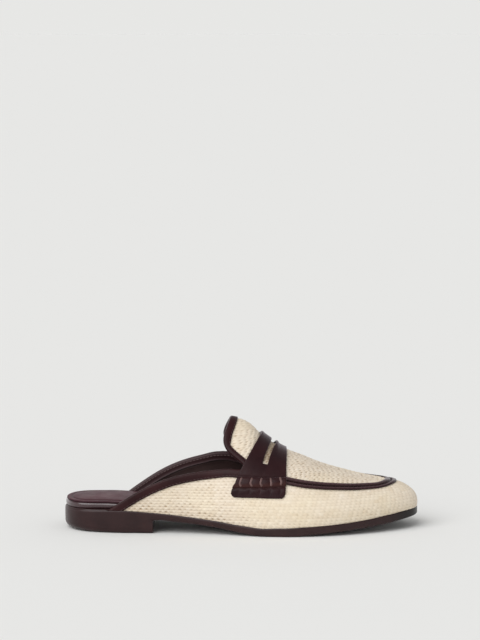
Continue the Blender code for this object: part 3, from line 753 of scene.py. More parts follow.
# Woven raffia: level rows of flat straw, backed and lasted; one strip makes both quarters and the
# vamp, another plug and tongue. Small slanted holes stay at the straws' ends: on the vamp each row
# is a fifth of a straw ahead of the one below, on the plug the rows start anywhere.
STRAW_PITCH = 3.7
ROW_PITCH = 2.2
STRAW_FINE = 6
ROW_FINE = 5
HOLE_LONG = 0.25
HOLE_SLANT = 0.5
HOLE_BELOW = 0.25
STRAW_CROWN = 0.12
LEAN = 0.2
STRAY = 0.2
FINE_WEAVE = 0.45
OPEN_MORE = 0.5
# How much darker the colour turns near the sole, where the weave of the quarters is more open.
NEAR_SOLE_DARKER = 0.34
NEAR_SOLE = (2.0, 14.0)
VAMP_CLOSES = (95.0, 150.0)
PLUG_LOW = 0.36
TONGUE_ENDS = (118.0, 126.0)
# Painted shade on the cloth in the saddle's slot: how dark, the ribs where it starts and stops.
SLOT_SHADE = 0.7
SLOT_SHADE_STARTS = (133.0, 136.0)
SLOT_SHADE_STOPS = (148.0, 151.0)
CLOTH_BACK = -0.8
SWAY = 0.16
VAMP_RISE = 0.45
PLUG_RISE = 0.62
FLANK_FALL = 0.7
BOW = 5.0
FAR_APART = 1000.0
STRAW_DARK = (0.708, 0.602, 0.474, 1.0)
STRAW_LIGHT = (0.810, 0.722, 0.604, 1.0)
STRAW_RIPE = (1.0, 0.99, 0.925, 1.0)
STRAW_SHADE = (0.36, 0.26, 0.165, 1.0)
# Chance of the weave, drawn once: tone of each row and straw, depth of each hole, start of a row.
DRAWS = 400
FULL_TURN = 6.28
straw_draw = np.random.default_rng(37)
row_tone = straw_draw.normal(size=DRAWS)
cell_tone = straw_draw.normal(size=(DRAWS, DRAWS))
cell_rise = straw_draw.normal(size=(DRAWS, DRAWS))
row_phase = straw_draw.uniform(0.0, FULL_TURN, size=DRAWS)


def straw_relief(c, r, ahead, rise, deep, high, ribbed, shade):
    """Weave in units of pitch: low rows of flat straws, a small slanted hole at each straw's end.

    Each row starts ahead by its own part of a straw, and falls off by the share ribbed with the
    cube of the distance from its middle line. A hole is a bell over its two axes, high across
    the row, and its depth differs from straw to straw and in slow waves over the cloth. Returns
    the height below the crown, the tone of the straw, and how far its colour goes to the shade
    tone: painted shade in the holes and where the row falls off, plus the darkening passed in.
    """
    k = np.floor(r).astype(int)
    fr = r - k - 0.5
    k = k % DRAWS
    place = c - ahead[k]
    i = np.floor(place).astype(int) % DRAWS
    end = np.round(place).astype(int)
    e = place - end
    hole = np.exp(-((e / HOLE_LONG) ** 2) - ((fr + HOLE_BELOW + HOLE_SLANT * e) / high) ** 2)
    wave = np.sin(0.37 * c + 1.7 * np.sin(0.21 * r + 0.11 * c)) * np.cos(0.29 * r - 0.13 * c)
    depth = 0.55 + 0.45 * (0.5 + 0.5 * wave) + 0.3 * cell_rise[end % DRAWS, k]
    depth = deep * np.clip(depth, 0.1, 1.4)
    gap = np.clip(ribbed * np.abs(2.0 * fr) ** 3 + depth * hole, 0.0, 1.2)
    crown = STRAW_CROWN * (1.0 + np.cos(2.0 * np.pi * e))
    tone = 0.4 * row_tone[k] + cell_tone[i, k]
    return rise * (-crown - gap), 0.5 + 0.15 * tone, gap + shade


def look_up(reach, value, h):
    """Value at arc length h in each column's own table: the columns are set end to end."""
    shift = FAR_APART * np.arange(len(reach))[:, None]
    return np.interp((h + shift).ravel(), (reach + shift).ravel(), value.ravel()).reshape(h.shape)


def woven(name, low, high, spot, row_of, relief, back_rows, finish):
    """Woven wall over columns one straw part apart, between two limits of arc length.

    The rows of points lie at even arc lengths and stop at the limits, where spare points fall
    together; row_of tells which straw row an arc length belongs to, relief the shape of the
    straws. A coarse back and rims close the wall.
    """
    n = len(low)
    m = back_rows
    step = ROW_PITCH / ROW_FINE
    first = np.floor(low / step).astype(int)
    final = np.ceil(high / step).astype(int)
    rows = np.arange(first.min(), final.max() + 1)
    j = np.clip(rows[None, :], first[:, None], final[:, None])
    h = np.clip(j * step, low[:, None], high[:, None])
    c = np.broadcast_to(np.arange(n)[:, None] / STRAW_FINE, h.shape)
    r = row_of(h) / ROW_PITCH
    height, tone, gap = straw_relief(c, r, *relief(h))
    sway = SWAY * np.sin(0.23 * c + row_phase[np.round(r).astype(int) % DRAWS])
    moved = np.where((j > first[:, None]) & (j < final[:, None]), h + sway, h)
    moved = np.clip(moved, low[:, None], high[:, None])
    front = skin(*spot(moved), height)
    share = np.linspace(0.0, 1.0, m)[None, :]
    rear = skin(*spot(low[:, None] + (high - low)[:, None] * share), CLOTH_BACK)
    number = np.arange(n)[:, None] * len(rows) + j - rows[0]
    used, corner = np.unique(number, return_inverse=True)
    corner = corner.reshape(number.shape)
    count = len(used)
    back = count + np.arange(n * m).reshape(n, m)
    top, foot = corner[:, -1], corner[:, 0]
    quads = np.concatenate([
        corner.ravel()[grid(n, len(rows))],
        back.ravel()[grid(n, m)][:, ::-1],
        np.stack([top[:-1], top[1:], back[1:, -1], back[:-1, -1]], 1),
        np.stack([foot[1:], foot[:-1], back[:-1, 0], back[1:, 0]], 1),
    ])
    ends = [list(dict.fromkeys(corner[0].tolist())) + back[0, ::-1].tolist(),
            list(dict.fromkeys(corner[-1, ::-1].tolist())) + back[-1].tolist()]
    points = np.concatenate([front.reshape(-1, 3)[used], rear.reshape(-1, 3)])
    plain = np.zeros(n * m)
    thread = np.stack([c, r], -1).reshape(-1, 2)[used]
    return make_piece(
        name, points, facets(quads) + ends, finish,
        uv=np.concatenate([thread, np.zeros((n * m, 2))]),
        tone=np.concatenate([tone.ravel()[used], plain + 0.5]),
        gap=np.concatenate([gap.ravel()[used], plain]),
    )


def straw_finish():
    """Dried palm straw: cream tones that differ from straw to straw, fine fibres along each."""
    made, tree, shader = start_material("raffia_straw")
    tone, gap = (add(tree, "Attribute", {"attribute_name": name}).outputs["Fac"]
                 for name in ("tone", "gap"))
    weave = add(tree, "UVMap", {"uv_map": "weave"})
    along = add(tree, "Mapping", Vector=weave, Scale=(1.2, 14.0, 1.0))
    fibre = add(tree, "TexNoise", Vector=along, Scale=1.0, Detail=4.0, Roughness=0.6)
    where = add(tree, "TexCoord").outputs["Object"]
    cloud = add(tree, "TexNoise", Vector=where, Scale=55.0, Detail=3.0)
    mixed = add(tree, "Math", {"operation": "MULTIPLY_ADD"}, _0=cloud, _1=0.5, _2=tone)
    mixed = add(tree, "Math", {"operation": "MULTIPLY_ADD"}, _0=fibre, _1=0.5, _2=mixed)
    straw = add(tree, "MixRGB", Fac=ramp(tree, mixed, 0.5, 1.5), Color1=STRAW_DARK,
                Color2=STRAW_LIGHT)
    patch = add(tree, "TexNoise", Vector=where, Scale=30.0, Detail=2.0)
    straw = add(tree, "MixRGB", {"blend_type": "MULTIPLY"}, Fac=ramp(tree, patch, 0.4, 0.7),
                Color1=straw, Color2=STRAW_RIPE)
    # The gap trait mixes in the shade tone: painted shade in the holes, the grooves between rows
    # and the saddle's slot, and a darker colour near the sole.
    deep = add(tree, "Math", {"operation": "POWER", "use_clamp": True}, _0=gap, _1=1.4)
    shaded = add(tree, "MixRGB", Fac=deep, Color1=straw, Color2=STRAW_SHADE)
    relief = add(tree, "Bump", Strength=0.3, Distance=0.0002, Height=fibre)
    put(tree, shader, Base_Color=shaded, Normal=relief, Roughness=0.6, Specular_IOR_Level=0.3)
    return made


raffia_straw = straw_finish()


def arc(points):
    """Arc length along each row of points, from its first."""
    steps = np.linalg.norm(np.diff(points, axis=-2), axis=-1)
    return np.concatenate([np.zeros(steps.shape[:-1] + (1,)), np.cumsum(steps, -1)], -1)


def vamp_cloth():
    """Quarters and vamp: columns at even steps around the shoe, level rows cut off by the sole."""
    guide = np.linspace(walk_of(VAMP_START), walk_of(VAMP_END, True), 1500)
    run = arc(last(guide, 0.2))
    walk = np.interp(np.arange(0.0, run[-1], STRAW_PITCH / STRAW_FINE), run, guide)
    v = np.linspace(0.0, 0.8, 61)
    reach = arc(last(walk[:, None], v[None, :]))
    table = np.broadcast_to(v, reach.shape)
    high = look_up(table, reach, vamp_top(walk)[:, None])[:, 0]
    level = last(walk, 0.0)[:, 2]
    opened = OPEN_MORE * (1.0 - ease(rib_of(walk), *VAMP_CLOSES))[:, None]
    ahead = LEAN * np.arange(DRAWS) + STRAY * row_phase / FULL_TURN

    def relief(h):
        near_sole = 1.0 - ease(h - level[:, None], *NEAR_SOLE)
        deep = (FINE_WEAVE + opened) * (0.75 + 0.35 * near_sole)
        return ahead, VAMP_RISE, deep, 0.19, 0.2 + 0.4 * opened, NEAR_SOLE_DARKER * opened * near_sole

    def spot(h):
        return np.broadcast_to(walk[:, None], h.shape), look_up(reach + level[:, None], table, h)

    return woven("vamp_raffia", level, level + np.maximum(high, 0.3), spot, lambda h: h, relief, 11,
                 raffia_straw)


def section_rib(q, v, medial):
    """Rib whose point at v lies on the cross section q, by halving.

    A section follows a rib over the tongue and turns into a plane across the shoe at the toe.
    """
    low, high = np.full(v.shape, 60.0), np.full(v.shape, LENGTH)
    for _ in range(24):
        rib = 0.5 * (low + high)
        px = last(walk_of(rib, medial), v)[..., 0]
        plane = ease(px, 140.0, 185.0)
        under = (1.0 - plane) * ridge_station(rib) + plane * px < q
        low, high = np.where(under, rib, low), np.where(under, high, rib)
    return 0.5 * (low + high)


def plug_cloth():
    """Plug and tongue: columns are cross sections at even steps, rows run level round the ridge.

    Away from the ridge a row lies as far down as the ridge has dropped, so rows stay level, and
    each turns round the ridge in a narrow bow. The cloth in the saddle's slot is darkened with
    painted shade.
    """
    tip_v = np.linspace(1.0, 0.6, 200)
    tip = last(np.full(200, WALK_TIP), tip_v)
    crest = np.linspace(float(ridge_station(TONGUE_X)), FAN_RIDGE_X, 300)
    height = ridge_z(crest) + crown_lift(crest)
    middle = np.concatenate([np.stack([crest, ridge_y(crest), height], 1), tip[1:]])
    stop = np.interp(-float(apron(LENGTH)), -tip_v, tip[:, 0])
    run = arc(middle)
    length = np.interp(stop, middle[:, 0], run)
    q = np.interp(np.arange(0.0, length, STRAW_PITCH / STRAW_FINE), run, middle[:, 0])
    peak = np.where(q <= FAN_RIDGE_X, 1.0, np.interp(q, tip[:, 0], tip_v))
    down = np.linspace(0.0, 1.0, 61)[None, :]
    v = peak[:, None] + (PLUG_LOW - peak[:, None]) * down
    halves = []
    for medial in (False, True):
        rib = section_rib(np.broadcast_to(q[:, None], v.shape), v, medial)
        reach = arc(last(walk_of(rib, medial), v))
        low = np.where(rib < NOTCH_X, tongue_edge(rib), apron(rib))
        outside = v < low
        k = np.clip(np.argmax(outside, axis=1), 1, 60)[:, None]
        before, after = (np.take_along_axis(v - low, k - back, 1) for back in (1, 0))
        near, far = (np.take_along_axis(reach, k - back, 1) for back in (1, 0))
        part = np.clip(before / (before - after), 0.0, 1.0)
        limit = near * (1.0 - part) + far * part
        halves.append((rib, v, reach, limit[:, 0]))
    (rib_a, v_a, reach_a, limit_a), (rib_b, v_b, reach_b, limit_b) = halves
    reach = np.concatenate([-reach_a[:, ::-1], reach_b], 1)
    rib = np.concatenate([rib_a[:, ::-1], rib_b], 1)
    t = np.concatenate([v_a[:, ::-1], 2.0 - v_b], 1)
    drop = (height[0] - np.interp(q, middle[:, 0], middle[:, 2]))[:, None] / FLANK_FALL

    def relief(h):
        station, place = look_up(reach, rib, h), look_up(reach, t, h)
        place = np.minimum(place, 2.0 - place)
        # Painted shade darkens the cloth inside the saddle's slot.
        painted_light = ease(station, *SLOT_SHADE_STARTS) * (1.0 - ease(station, *SLOT_SHADE_STOPS))
        painted_light = SLOT_SHADE * painted_light * ease(place, 0.58, 0.66)
        flank = 1.0 - ease(place, 0.6, 0.85)
        deep = 0.9 + (1.0 - ease(station, *TONGUE_ENDS)) * (0.55 * flank - 0.4)
        return row_phase / FULL_TURN, PLUG_RISE, deep, 0.25, 0.22, painted_light

    return woven("plug_raffia", -np.maximum(limit_a, 0.3), np.maximum(limit_b, 0.3),
                 lambda h: across(look_up(reach, rib, h), look_up(reach, t, h)),
                 lambda h: np.hypot(h, BOW) + drop, relief, 51, raffia_straw)


vamp_raffia = vamp_cloth()
fit(vamp_raffia, "raffia", "upper")
plug_raffia = plug_cloth()
fit(plug_raffia, "raffia", "upper")

# Edging: a calf strip folded over the toplines and around the tongue, sewn through close to its
# lower edge with thread of its own colour.
BIND_OUTER = 5.2
BIND_INNER = 5.0
SEAM_IN = 0.95
CUT_AT = 0.008
STITCH_STEP = 2.6
STITCH = (2.0, 0.6, 0.5)
EDGE_STEP = 0.8
EDGE_SOFT = 1.2
# Stations over which the edging's painted highlight weakens by two fifths.
HIGHLIGHT_FADES = (70.0, 105.0)
INSTEP_ENDS = (91.2, 96.5)
THROAT_X = 119.5
# Section across the strip, from its outer edge round the fold: way down from the topline, height
# off the cloth, how much painted highlight lightens it.
EDGING = (
    (BIND_OUTER - 0.5, 0.1, 0), (BIND_OUTER, 0.25, 0), (BIND_OUTER + 0.06, 0.55, 0),
    (BIND_OUTER - 0.12, 0.82, 0), (BIND_OUTER - 0.5, 0.92, 0), (BIND_OUTER - 0.95, 0.86, 0),
    (BIND_OUTER - 1.6, 1, 0), (3, 1.12, 0), (2, 1.16, 0), (1, 1.14, 0), (0.2, 1.08, 0),
    (-0.45, 0.86, 0), (-0.85, 0.4, 0), (-1.02, -0.2, 0), (-1.04, -0.8, 0), (-1.02, -1.4, 0.1),
    (-0.85, -2, 0.4), (-0.45, -2.45, 0.7), (0.2, -2.66, 0.7), (1.2, -2.72, 0.4), (2.6, -2.62, 0.2),
    (BIND_INNER - 1.3, -2.72, 0.4), (BIND_INNER - 0.4, -2.95, 1), (BIND_INNER, -2.6, 0.6),
    (BIND_INNER, -1.9, 0), (BIND_INNER - 0.5, -1.7, 0),
)
# Painted highlight: the edging's light third tone lies along the rim of its fold and the lower
# border of its inner flap.
calf = leather("calf", (0.0205, 0.0056, 0.0065), (0.0320, 0.0092, 0.0102), (0.32, 0.42),
               shine=0.14, sheen=0.05, pulled=(0.100, 0.070, 0.073))


def beside(x, t, reach):
    """Surface coordinates at a distance to the left of a curve that runs over the last."""
    walk, v = across(x, t)
    along, up = partials(walk, v)
    flip = np.where(t <= 1.0, 1.0, -1.0)[:, None]
    along, up = along * flip, up * flip
    run = np.gradient(last(walk, v), axis=0)
    left = unit(np.cross(np.cross(along, up), run))
    aa, ab, bb = (along * along).sum(1), (along * up).sum(1), (up * up).sum(1)
    la, lb = (left * along).sum(1), (left * up).sum(1)
    det = aa * bb - ab * ab
    return x + reach * (la * bb - lb * ab) / det, t + reach * (lb * aa - la * ab) / det


def evened(x, t, step, soften):
    """The same curve over the last with points a step apart, its corners softened."""
    run = arc(last(*across(x, t)))
    count = int(run[-1] / step) + 1
    place = np.linspace(0.0, run[-1], count)
    x, t = np.interp(place, run, x), np.interp(place, run, t)
    width = int(3.0 * soften / step)
    weight = np.exp(-0.5 * (np.arange(-width, width + 1) * step / soften) ** 2)
    weight /= weight.sum()
    ends = np.arange(-width, count + width)
    inside = np.clip(ends, 0, count - 1)
    past = (ends - inside)[:, None]
    both = np.stack([x, t], 1)
    slope = np.where(past < 0, both[1] - both[0], both[-1] - both[-2])
    both = both[inside] + past * slope
    return np.convolve(both[:, 0], weight, "valid"), np.convolve(both[:, 1], weight, "valid")


def tube_faces(count, n, first=0):
    """Faces of a closed body through count rings of n points, capped at both ends."""
    final = first + (count - 1) * n
    caps = [list(range(first + n - 1, first - 1, -1)), list(range(final, final + n))]
    return facets(grid(count, n, first, around=True)[:, ::-1]) + caps


def tube(name, sections, finish, crease=50.0, **traits):
    """Closed body through equal sections."""
    return make_piece(name, sections, tube_faces(*sections.shape[:2]), finish, crease, **traits)


def thread_ring(turn, wide, high, sideways, normal):
    """Oval ring of a thread about each place: wide along one direction, high along the other."""
    turn = turn[:, None]
    ring = wide * np.cos(turn) * sideways[:, None] + high * np.sin(turn) * normal[:, None]
    return 0.5 * ring


def stitches(name, middle, along, normal, long, wide, high, finish):
    """Many equal stitches: rings of a spindle set along each thread, sunk by a third."""
    turn = np.linspace(0.0, 2.0 * np.pi, 7)[:-1]
    ring = thread_ring(turn, wide, high, np.cross(normal, along), normal)
    spindle = ((-0.5, 0.25), (-0.42, 0.7), (-0.2, 1.0), (0.2, 1.0), (0.42, 0.7), (0.5, 0.25))
    points = np.stack([(middle + place * long * along)[:, None] + girth * ring
                       for place, girth in spindle], 1)
    rings, n = len(spindle), len(turn)
    faces = [face for k in range(len(middle)) for face in tube_faces(rings, n, k * rings * n)]
    fit(make_piece(name, points, faces, finish), "trim")


def read_off(place, run, rows):
    """Vectors at places along a run, between those of its rows."""
    return np.stack([np.interp(place, run, rows[:, k]) for k in range(3)], 1)


def seam_line(x, t, reach, lift, step):
    """Places, directions and normals a step apart on a line beside a curve over the last."""
    walk, v = across(*beside(x, t, reach))
    points = skin(walk, v, lift)
    run = arc(points)
    place = np.arange(step, run[-1] - step, step)
    tangent = unit(read_off(place, run, np.gradient(points, axis=0)))
    return read_off(place, run, points), tangent, unit(read_off(place, run, outward(walk, v)))


thread_finish = leather("waxed_thread", (0.030, 0.014, 0.014), (0.055, 0.028, 0.028), (0.42, 0.55),
                        pores=2600.0, mottles=300.0, bump=0.25, shine=0.3)
lining_thread = leather("lining_thread", (0.10, 0.066, 0.063), (0.16, 0.106, 0.100), (0.45, 0.58),
                        pores=2600.0, mottles=300.0, bump=0.25, shine=0.3)


def edge_with_strip(name, x, t, node, narrow=0.0):
    """Folded strip along a free edge with its two rows of stitches.

    The strip is narrower by a share where it passes the instep, and the painted highlight on its
    inside is weaker there. Where it meets the sole, what would reach below is drawn in above the
    sole's line.
    """
    x, t = evened(x, t, EDGE_STEP, EDGE_SOFT)
    wide = 1.0 - narrow * ease(x, *INSTEP_ENDS)
    sections = []
    for reach, lift, _ in EDGING:
        walk, v = across(*beside(x, t, reach * wide))
        v = np.where(v < CUT_AT, CUT_AT * np.exp(np.minimum(v / CUT_AT - 1.0, 0.0)), v)
        sections.append(skin(walk, v, lift))
    painted_light = np.outer(1.0 - 0.4 * ease(x, *HIGHLIGHT_FADES), [polish_and_highlight for *_, polish_and_highlight in EDGING])
    strip = tube(name, np.stack(sections, 1), calf, pull=painted_light)
    fit(strip, "trim", node)
    for side, reach, lift, facing, finish in (
        ("outer", BIND_OUTER - SEAM_IN, 0.9, 1.0, thread_finish),
        ("inner", 1.2, -2.72, -1.0, lining_thread),
    ):
        middle, along, normal = seam_line(x, t, reach * wide, lift, STITCH_STEP)
        stitches(name + "_" + side + "_stitches", middle, along, facing * normal, *STITCH, finish)


x = np.linspace(31.8, THROAT_X, 400)
edge_with_strip("outer_edging", x[::-1], topline_lateral(x)[::-1], "topline_binding_lateral")
x = np.linspace(38.0, THROAT_X, 400)
edge_with_strip("inner_edging", x, 2.0 - topline_medial(x), "topline_binding_medial")
x = np.linspace(NOTCH_X - 2.0, TONGUE_X, 600)
t = tongue_edge(x)
rear = np.linspace(t[-1], 2.0 - t[-1], 200)[1:-1]
x = np.concatenate([x, np.full(len(rear), TONGUE_X), x[::-1]])
t = np.concatenate([t, rear, 2.0 - t[::-1]])
edge_with_strip("tongue_edging", x[::-1], t[::-1], "tongue_binding", narrow=0.3)

# Apron seam: plug and vamp are gathered into a double roll of calf that runs from the saddle
# around the toe, pinched by the stitches in its groove.
TRIM_X = 157.5
TRIM_WIDER = 0.3
TRIM_FLATTER = 0.5
PINCH_STEP = 3.4
PINCHED = 0.08
PINCH_STITCH = (1.6, 0.38, 0.45)
TRIM_WIDENS = (234.0, 254.0)
TRIM_FLATTENS = (190.0, 240.0)
# Section across the seam: place from the lower roll to the upper one, height, how much painted
# highlight lightens it.
ROLLS = (
    (-2.7, -0.1, 0), (-3.05, 0.25, 0), (-3.2, 0.75, 0.05), (-3.05, 1.2, 0.1), (-2.6, 1.56, 0.15),
    (-2, 1.68, 0.4), (-1.4, 1.58, 1), (-1, 1.28, 0.7), (-0.75, 0.7, 0), (-0.45, 0.1, 0),
    (0, 0.1, 0), (0.4, 0.75, 0), (0.8, 1.3, 0.2), (1.5, 1.54, 0.6), (2.3, 1.40, 0.8),
    (3, 1.08, 0.7), (3.4, 0.6, 0.3), (3.4, 0.2, 0), (3.1, -0.1, 0),
)
guide = np.linspace(walk_of(TRIM_X), walk_of(TRIM_X, True), 3000)
run = arc(last(guide, apron(rib_of(guide))))
walk = np.interp(np.linspace(0.0, run[-1], 420), run, guide)
v = apron(rib_of(walk))
middle = last(walk, v)
normal = outward(walk, v)
tangent = unit(np.gradient(middle, axis=0))
up = np.cross(normal, tangent)
run = arc(middle)
wide = 1.0 + TRIM_WIDER * ease(rib_of(walk), *TRIM_WIDENS)
flat = 1.0 - TRIM_FLATTER * ease(rib_of(walk), *TRIM_FLATTENS)
wave = 0.5 - 0.5 * np.cos(2.0 * np.pi * run / PINCH_STEP)
sections = []
for place, height, _ in ROLLS:
    drawn_in = place * wide + (PINCHED * (1.0 - wave) if place < -2.0 else 0.0)
    lifted = height * flat * (1.0 + 0.03 * (wave - 0.5))
    sections.append(middle + drawn_in[:, None] * up + lifted[:, None] * normal)
roll_calf = leather("roll_calf", (0.0150, 0.0035, 0.0042), (0.0230, 0.0060, 0.0068), (0.24, 0.34),
                    shine=0.2, pulled=(0.102, 0.058, 0.063))
# Painted highlight on the tops of the rolls, weaker at each stitch.
painted_light = np.array([polish_and_highlight for *_, polish_and_highlight in ROLLS]) * (0.65 + 0.35 * wave[:, None])
apron_roll = tube("apron_roll", np.stack(sections, 1)[:, ::-1], roll_calf, 70.0,
                  pull=painted_light[:, ::-1])
fit(apron_roll, "trim", "apron_trim")
pinch = np.arange(PINCH_STEP, run[-1] - PINCH_STEP, PINCH_STEP)
middle, tangent, up, normal = (read_off(pinch, run, a) for a in (middle, tangent, up, normal))
sunk = 0.9 * np.interp(pinch, run, flat)[:, None]
stitches("apron_stitches", middle - 0.35 * up + sunk * normal, 0.55 * tangent + 0.83 * up, normal,
         *PINCH_STITCH, thread_finish)

# Saddle: one piece of calf over the instep, cut with a long slot; its sides are gathered over
# the seam into a roll that five thick threads tie down, with a tab of leather left below.
# Free edges and slot: way from the tab over the roll to the ridge, rear rib, front rib.
SADDLE_EDGES = (
    (0, 117.6, 156.2), (0.12, 115.6, 158.1), (0.3, 114.3, 158.9), (0.6, 114.2, 159.2),
    (1, 115.6, 159.5), (1.15, 117.1, 159.5), (1.32, 120.4, 159.5), (1.5, 124.2, 159.8),
    (1.75, 128.4, 160.1), (1.88, 129.7, 160.1), (2, 130.1, 159.8), (2.12, 129.7, 160.1),
)
SADDLE_SLOT = (
    (1.30, 136.1, 141.2), (1.45, 137.6, 142.6), (1.66, 140.2, 145), (1.86, 142.1, 147.4),
    (2, 142.6, 148.2), (2.14, 142.1, 147.4),
)
# Tab's lower edge and middle of the roll: rib, share of the way from the sole to the ridge.
TAB_BOTTOM = ((114.0, 0.214), (124.0, 0.239), (138.0, 0.277), (160.0, 0.311))
ROLL_LINE = ((114.0, 0.322), (160.0, 0.478))
SADDLE_UNDER = 0.3
SADDLE_TOP = 1.8
ROLL_RISE = 1.5
SLOT_END = SADDLE_SLOT[0][0]
SLOT_REAR = 0.386
SLOT_FRONT = 0.490
ON_EDGE = 1e-6
THREADS = np.array([120.2, 129.0, 137.3, 146.0, 154.6])
THREAD_STEP = 8.6
EDGE_ROUND = 0.75


def saddle_height(s, x):
    """Over-the-ridge coordinate at a rib: tab's lower edge (s 0), roll (1), ridge (2)."""
    bottom, roll = steady(TAB_BOTTOM)(x), steady(ROLL_LINE)(x)
    return np.where(s <= 1.0, bottom + (roll - bottom) * s, roll + (1.0 - roll) * (s - 1.0))


def saddle_rib(s, u):
    """Rib of a saddle point: u goes from the rear edge (0) past the slot to the front edge (1)."""
    rear, front = steady(SADDLE_EDGES, 1)(s), steady(SADDLE_EDGES, 2)(s)
    held = np.maximum(s, SLOT_END)
    blend = ease(s, 0.7, SLOT_END)
    slot_rear = rear + SLOT_REAR * (front - rear)
    slot_front = rear + SLOT_FRONT * (front - rear)
    slot_rear = slot_rear + blend * (steady(SADDLE_SLOT, 1)(held) - slot_rear)
    slot_front = slot_front + blend * (steady(SADDLE_SLOT, 2)(held) - slot_front)
    behind = rear + (slot_rear - rear) * u / SLOT_REAR
    inside = slot_rear + (slot_front - slot_rear) * (u - SLOT_REAR) / (SLOT_FRONT - SLOT_REAR)
    ahead = slot_front + (front - slot_front) * (u - SLOT_FRONT) / (1.0 - SLOT_FRONT)
    return np.where(u < SLOT_REAR, behind, np.where(u <= SLOT_FRONT, inside, ahead))


def strap_curl(s, x):
    """How far the front strap's rear edge stands up over the ridge: a bump just before the slot."""
    return ease(s, 1.5, 2.0) * ease(x, 146.0, 148.0) * (1.0 - ease(x, 148.5, 153.0))


def saddle_top(s, x):
    """Lift of the saddle's face: a level strap, the gathered roll with its lobes, two creases.

    The lobes swell between the threads; above and below, the leather puckers in step with them,
    and the tab and the front strap thin out towards their free edges.
    """
    near = np.clip(np.abs(x[..., None] - THREADS).min(-1) / (0.5 * THREAD_STEP), 0.0, 1.0)
    lobe = 0.70 + 0.30 * np.sqrt(1.0 - (1.0 - near) ** 2)
    reach = np.where(s <= 1.0, 0.34, 0.075)
    d = np.abs(s - 1.0) / reach
    hump = np.sqrt(np.clip(1.0 - d * d, 0.0, 1.0)) * lobe
    crease = (0.25 + 0.3 * near) * np.exp(-((d - 1.08) / 0.18) ** 2)
    pucker = np.where(s <= 1.0, 1.6, 0.3) * (lobe - 0.88) * np.exp(-((d - 1.75) / 0.5) ** 2)
    thin = 0.5 * (1.0 - ease(s, 0.0, 0.5)) + 0.3 * ease(s, 1.3, 2.0) * ease(x, 146.0, 160.0)
    proud = 0.6 * ease(s, 1.5, 2.0) * (1.0 - ease(x, 140.0, 147.0)) + strap_curl(s, x)
    return SADDLE_TOP + ROLL_RISE * hump - crease + pucker - thin + proud


def clustered(low, high, count):
    """Steps between two edges, closer together towards both."""
    turn = np.linspace(0.0, np.pi, count)
    even = np.linspace(0.0, 1.0, count)
    return low + (high - low) * (0.55 * 0.5 * (1.0 - np.cos(turn)) + 0.45 * even)


half = np.concatenate([
    clustered(0.0, 0.16, 9)[:-1],
    np.linspace(0.16, 0.62, 10)[:-1],
    np.linspace(0.62, 1.0, 22)[:-1],
    np.linspace(1.0, 1.13, 20)[:-1],
    np.linspace(1.13, SLOT_END, 8)[:-1],
    clustered(SLOT_END, 1.45, 12)[:-1],
    np.linspace(1.45, 2.0, 22),
])
u = [clustered(0.0, SLOT_REAR, 26), clustered(SLOT_REAR, SLOT_FRONT, 9),
     clustered(SLOT_FRONT, 1.0, 34)]
k_rear = len(u[0]) - 1
k_front = k_rear + len(u[1]) - 1
u = np.concatenate([u[0], u[1][1:-1], u[2]])
s_grid, u_grid = np.meshgrid(half, u, indexing="ij")
x = saddle_rib(s_grid, u_grid)
t = saddle_height(s_grid, x)
face = last(*across(x, t))
# Distance of each point to the nearest cut edge: rear and front, slot, tab, end of the slot.
span, climb = arc(face), arc(face.swapaxes(0, 1)).T
edge = np.minimum(np.minimum(span, span[:, -1:] - span), climb)
to_slot = np.maximum(span[:, k_rear:k_rear + 1] - span, span - span[:, k_front:k_front + 1])
in_slot = s_grid >= SLOT_END - ON_EDGE
edge = np.where(in_slot, np.minimum(edge, np.maximum(to_slot, 0.0)), edge)
slot_row = int(np.argmax(half >= SLOT_END - ON_EDGE))
to_end = np.abs(climb - climb[slot_row])
in_end = (u_grid > SLOT_REAR - ON_EDGE) & (u_grid < SLOT_FRONT + ON_EDGE)
in_end = in_end & (s_grid <= SLOT_END + ON_EDGE)
edge = np.where(in_end, np.minimum(edge, to_end), edge)
dip = np.clip(EDGE_ROUND - edge, 0.0, EDGE_ROUND)
drop = EDGE_ROUND - np.sqrt(EDGE_ROUND**2 - dip**2)


def mirrored(rows):
    """Rows of the outer half, then the same on the inner half, with the ridge between them."""
    return np.concatenate([rows, rows[-2::-1]])


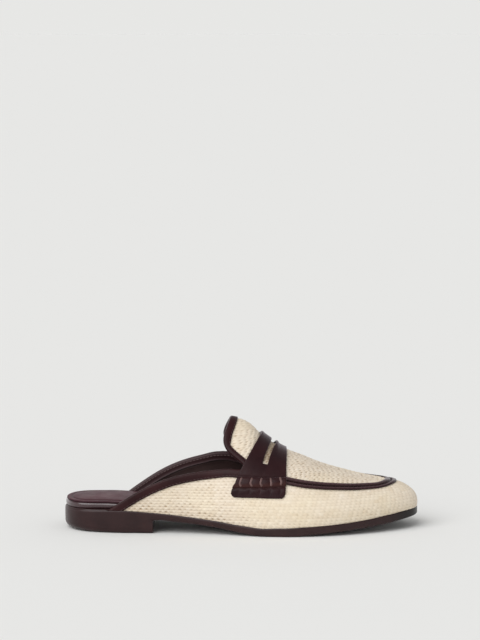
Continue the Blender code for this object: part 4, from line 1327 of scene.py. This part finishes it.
top = mirrored(saddle_top(s_grid, x) - drop)
under = mirrored(SADDLE_UNDER + 1.1 * strap_curl(s_grid, x))
# Painted light: a lighter, redder lower half of the roll, so that its upper half reads as shaded.
pull = np.exp(-(((np.minimum(s_grid, 1.0) - 0.78) / 0.14) ** 2)) * (1.0 - ease(s_grid, 1.05, 1.14))
pull = mirrored(pull)
walk, v = across(mirrored(x), np.concatenate([t, 2.0 - t[-2::-1]]))
count, width = v.shape
points = np.stack([skin(walk, v, top), skin(walk, v, under)])
row, column = np.indices((count - 1, width - 1))
hole = (column >= k_rear) & (column < k_front) & (row >= slot_row) & (row < count - 1 - slot_row)
quads = np.roll(grid(count, width)[:, ::-1], 1, axis=1)[~hole.ravel()]
saddle_calf = leather("saddle_calf", (0.0170, 0.0046, 0.0058), (0.0270, 0.0078, 0.0090),
                      (0.34, 0.46), bump=0.12, shine=0.15, sheen=0.3,
                      pulled=(0.040, 0.0125, 0.0110))
saddle = make_piece("saddle_strap_calf", points, facets(shell(quads, count * width)), saddle_calf,
                    55.0, pull=np.stack([pull, 0.0 * pull]))
fit(saddle, "trim", "saddle_strap")

loop_thread = leather("loop_thread", (0.085, 0.040, 0.037), (0.14, 0.078, 0.072), (0.36, 0.48),
                      pores=2200.0, mottles=300.0, bump=0.2, shine=0.4)
LOOP_WIDE = 1.6
LOOP_HIGH = 1.1
LOOP_LEAN = 1.1
LOOP_BOWS = (1.0, 1.1, 1.0, -0.5, -0.8)
LOOP_OVER = 0.15
LOOP_ROUND = 12
LOOP_SINKS = (0.9, 0.35)
s = np.concatenate([np.linspace(0.76, 0.95, 15), np.linspace(0.96, 1.065, 15)])
climbed = np.linspace(0.0, 1.0, len(s))
turn = np.linspace(0.0, 2.0 * np.pi, LOOP_ROUND + 1)[:-1]
for side in ("outer", "inner"):
    bodies, faces = [], []
    for place, bow in zip(THREADS, LOOP_BOWS):
        x = place - LOOP_LEAN * (climbed - 0.5) - bow * (np.sin(np.pi * climbed) - 0.6)
        t = saddle_height(s, x)
        lift = saddle_top(s, np.full(len(s), place)) + LOOP_OVER
        lift[[0, -1]] -= LOOP_SINKS[0]
        lift[[1, -2]] -= LOOP_SINKS[1]
        walk, v = across(x, 2.0 - t if side == "inner" else t)
        middle = skin(walk, v, lift)
        tangent = unit(np.gradient(middle, axis=0))
        sideways = unit(np.cross(outward(walk, v), tangent))
        ring = thread_ring(turn, LOOP_WIDE, LOOP_HIGH, sideways, np.cross(tangent, sideways))
        faces += tube_faces(len(s), LOOP_ROUND, len(bodies) * len(s) * LOOP_ROUND)
        bodies.append(middle[:, None] + ring)
    loops = make_piece("saddle_" + side + "_threads", np.concatenate(bodies), faces, loop_thread)
    fit(loops, "trim")
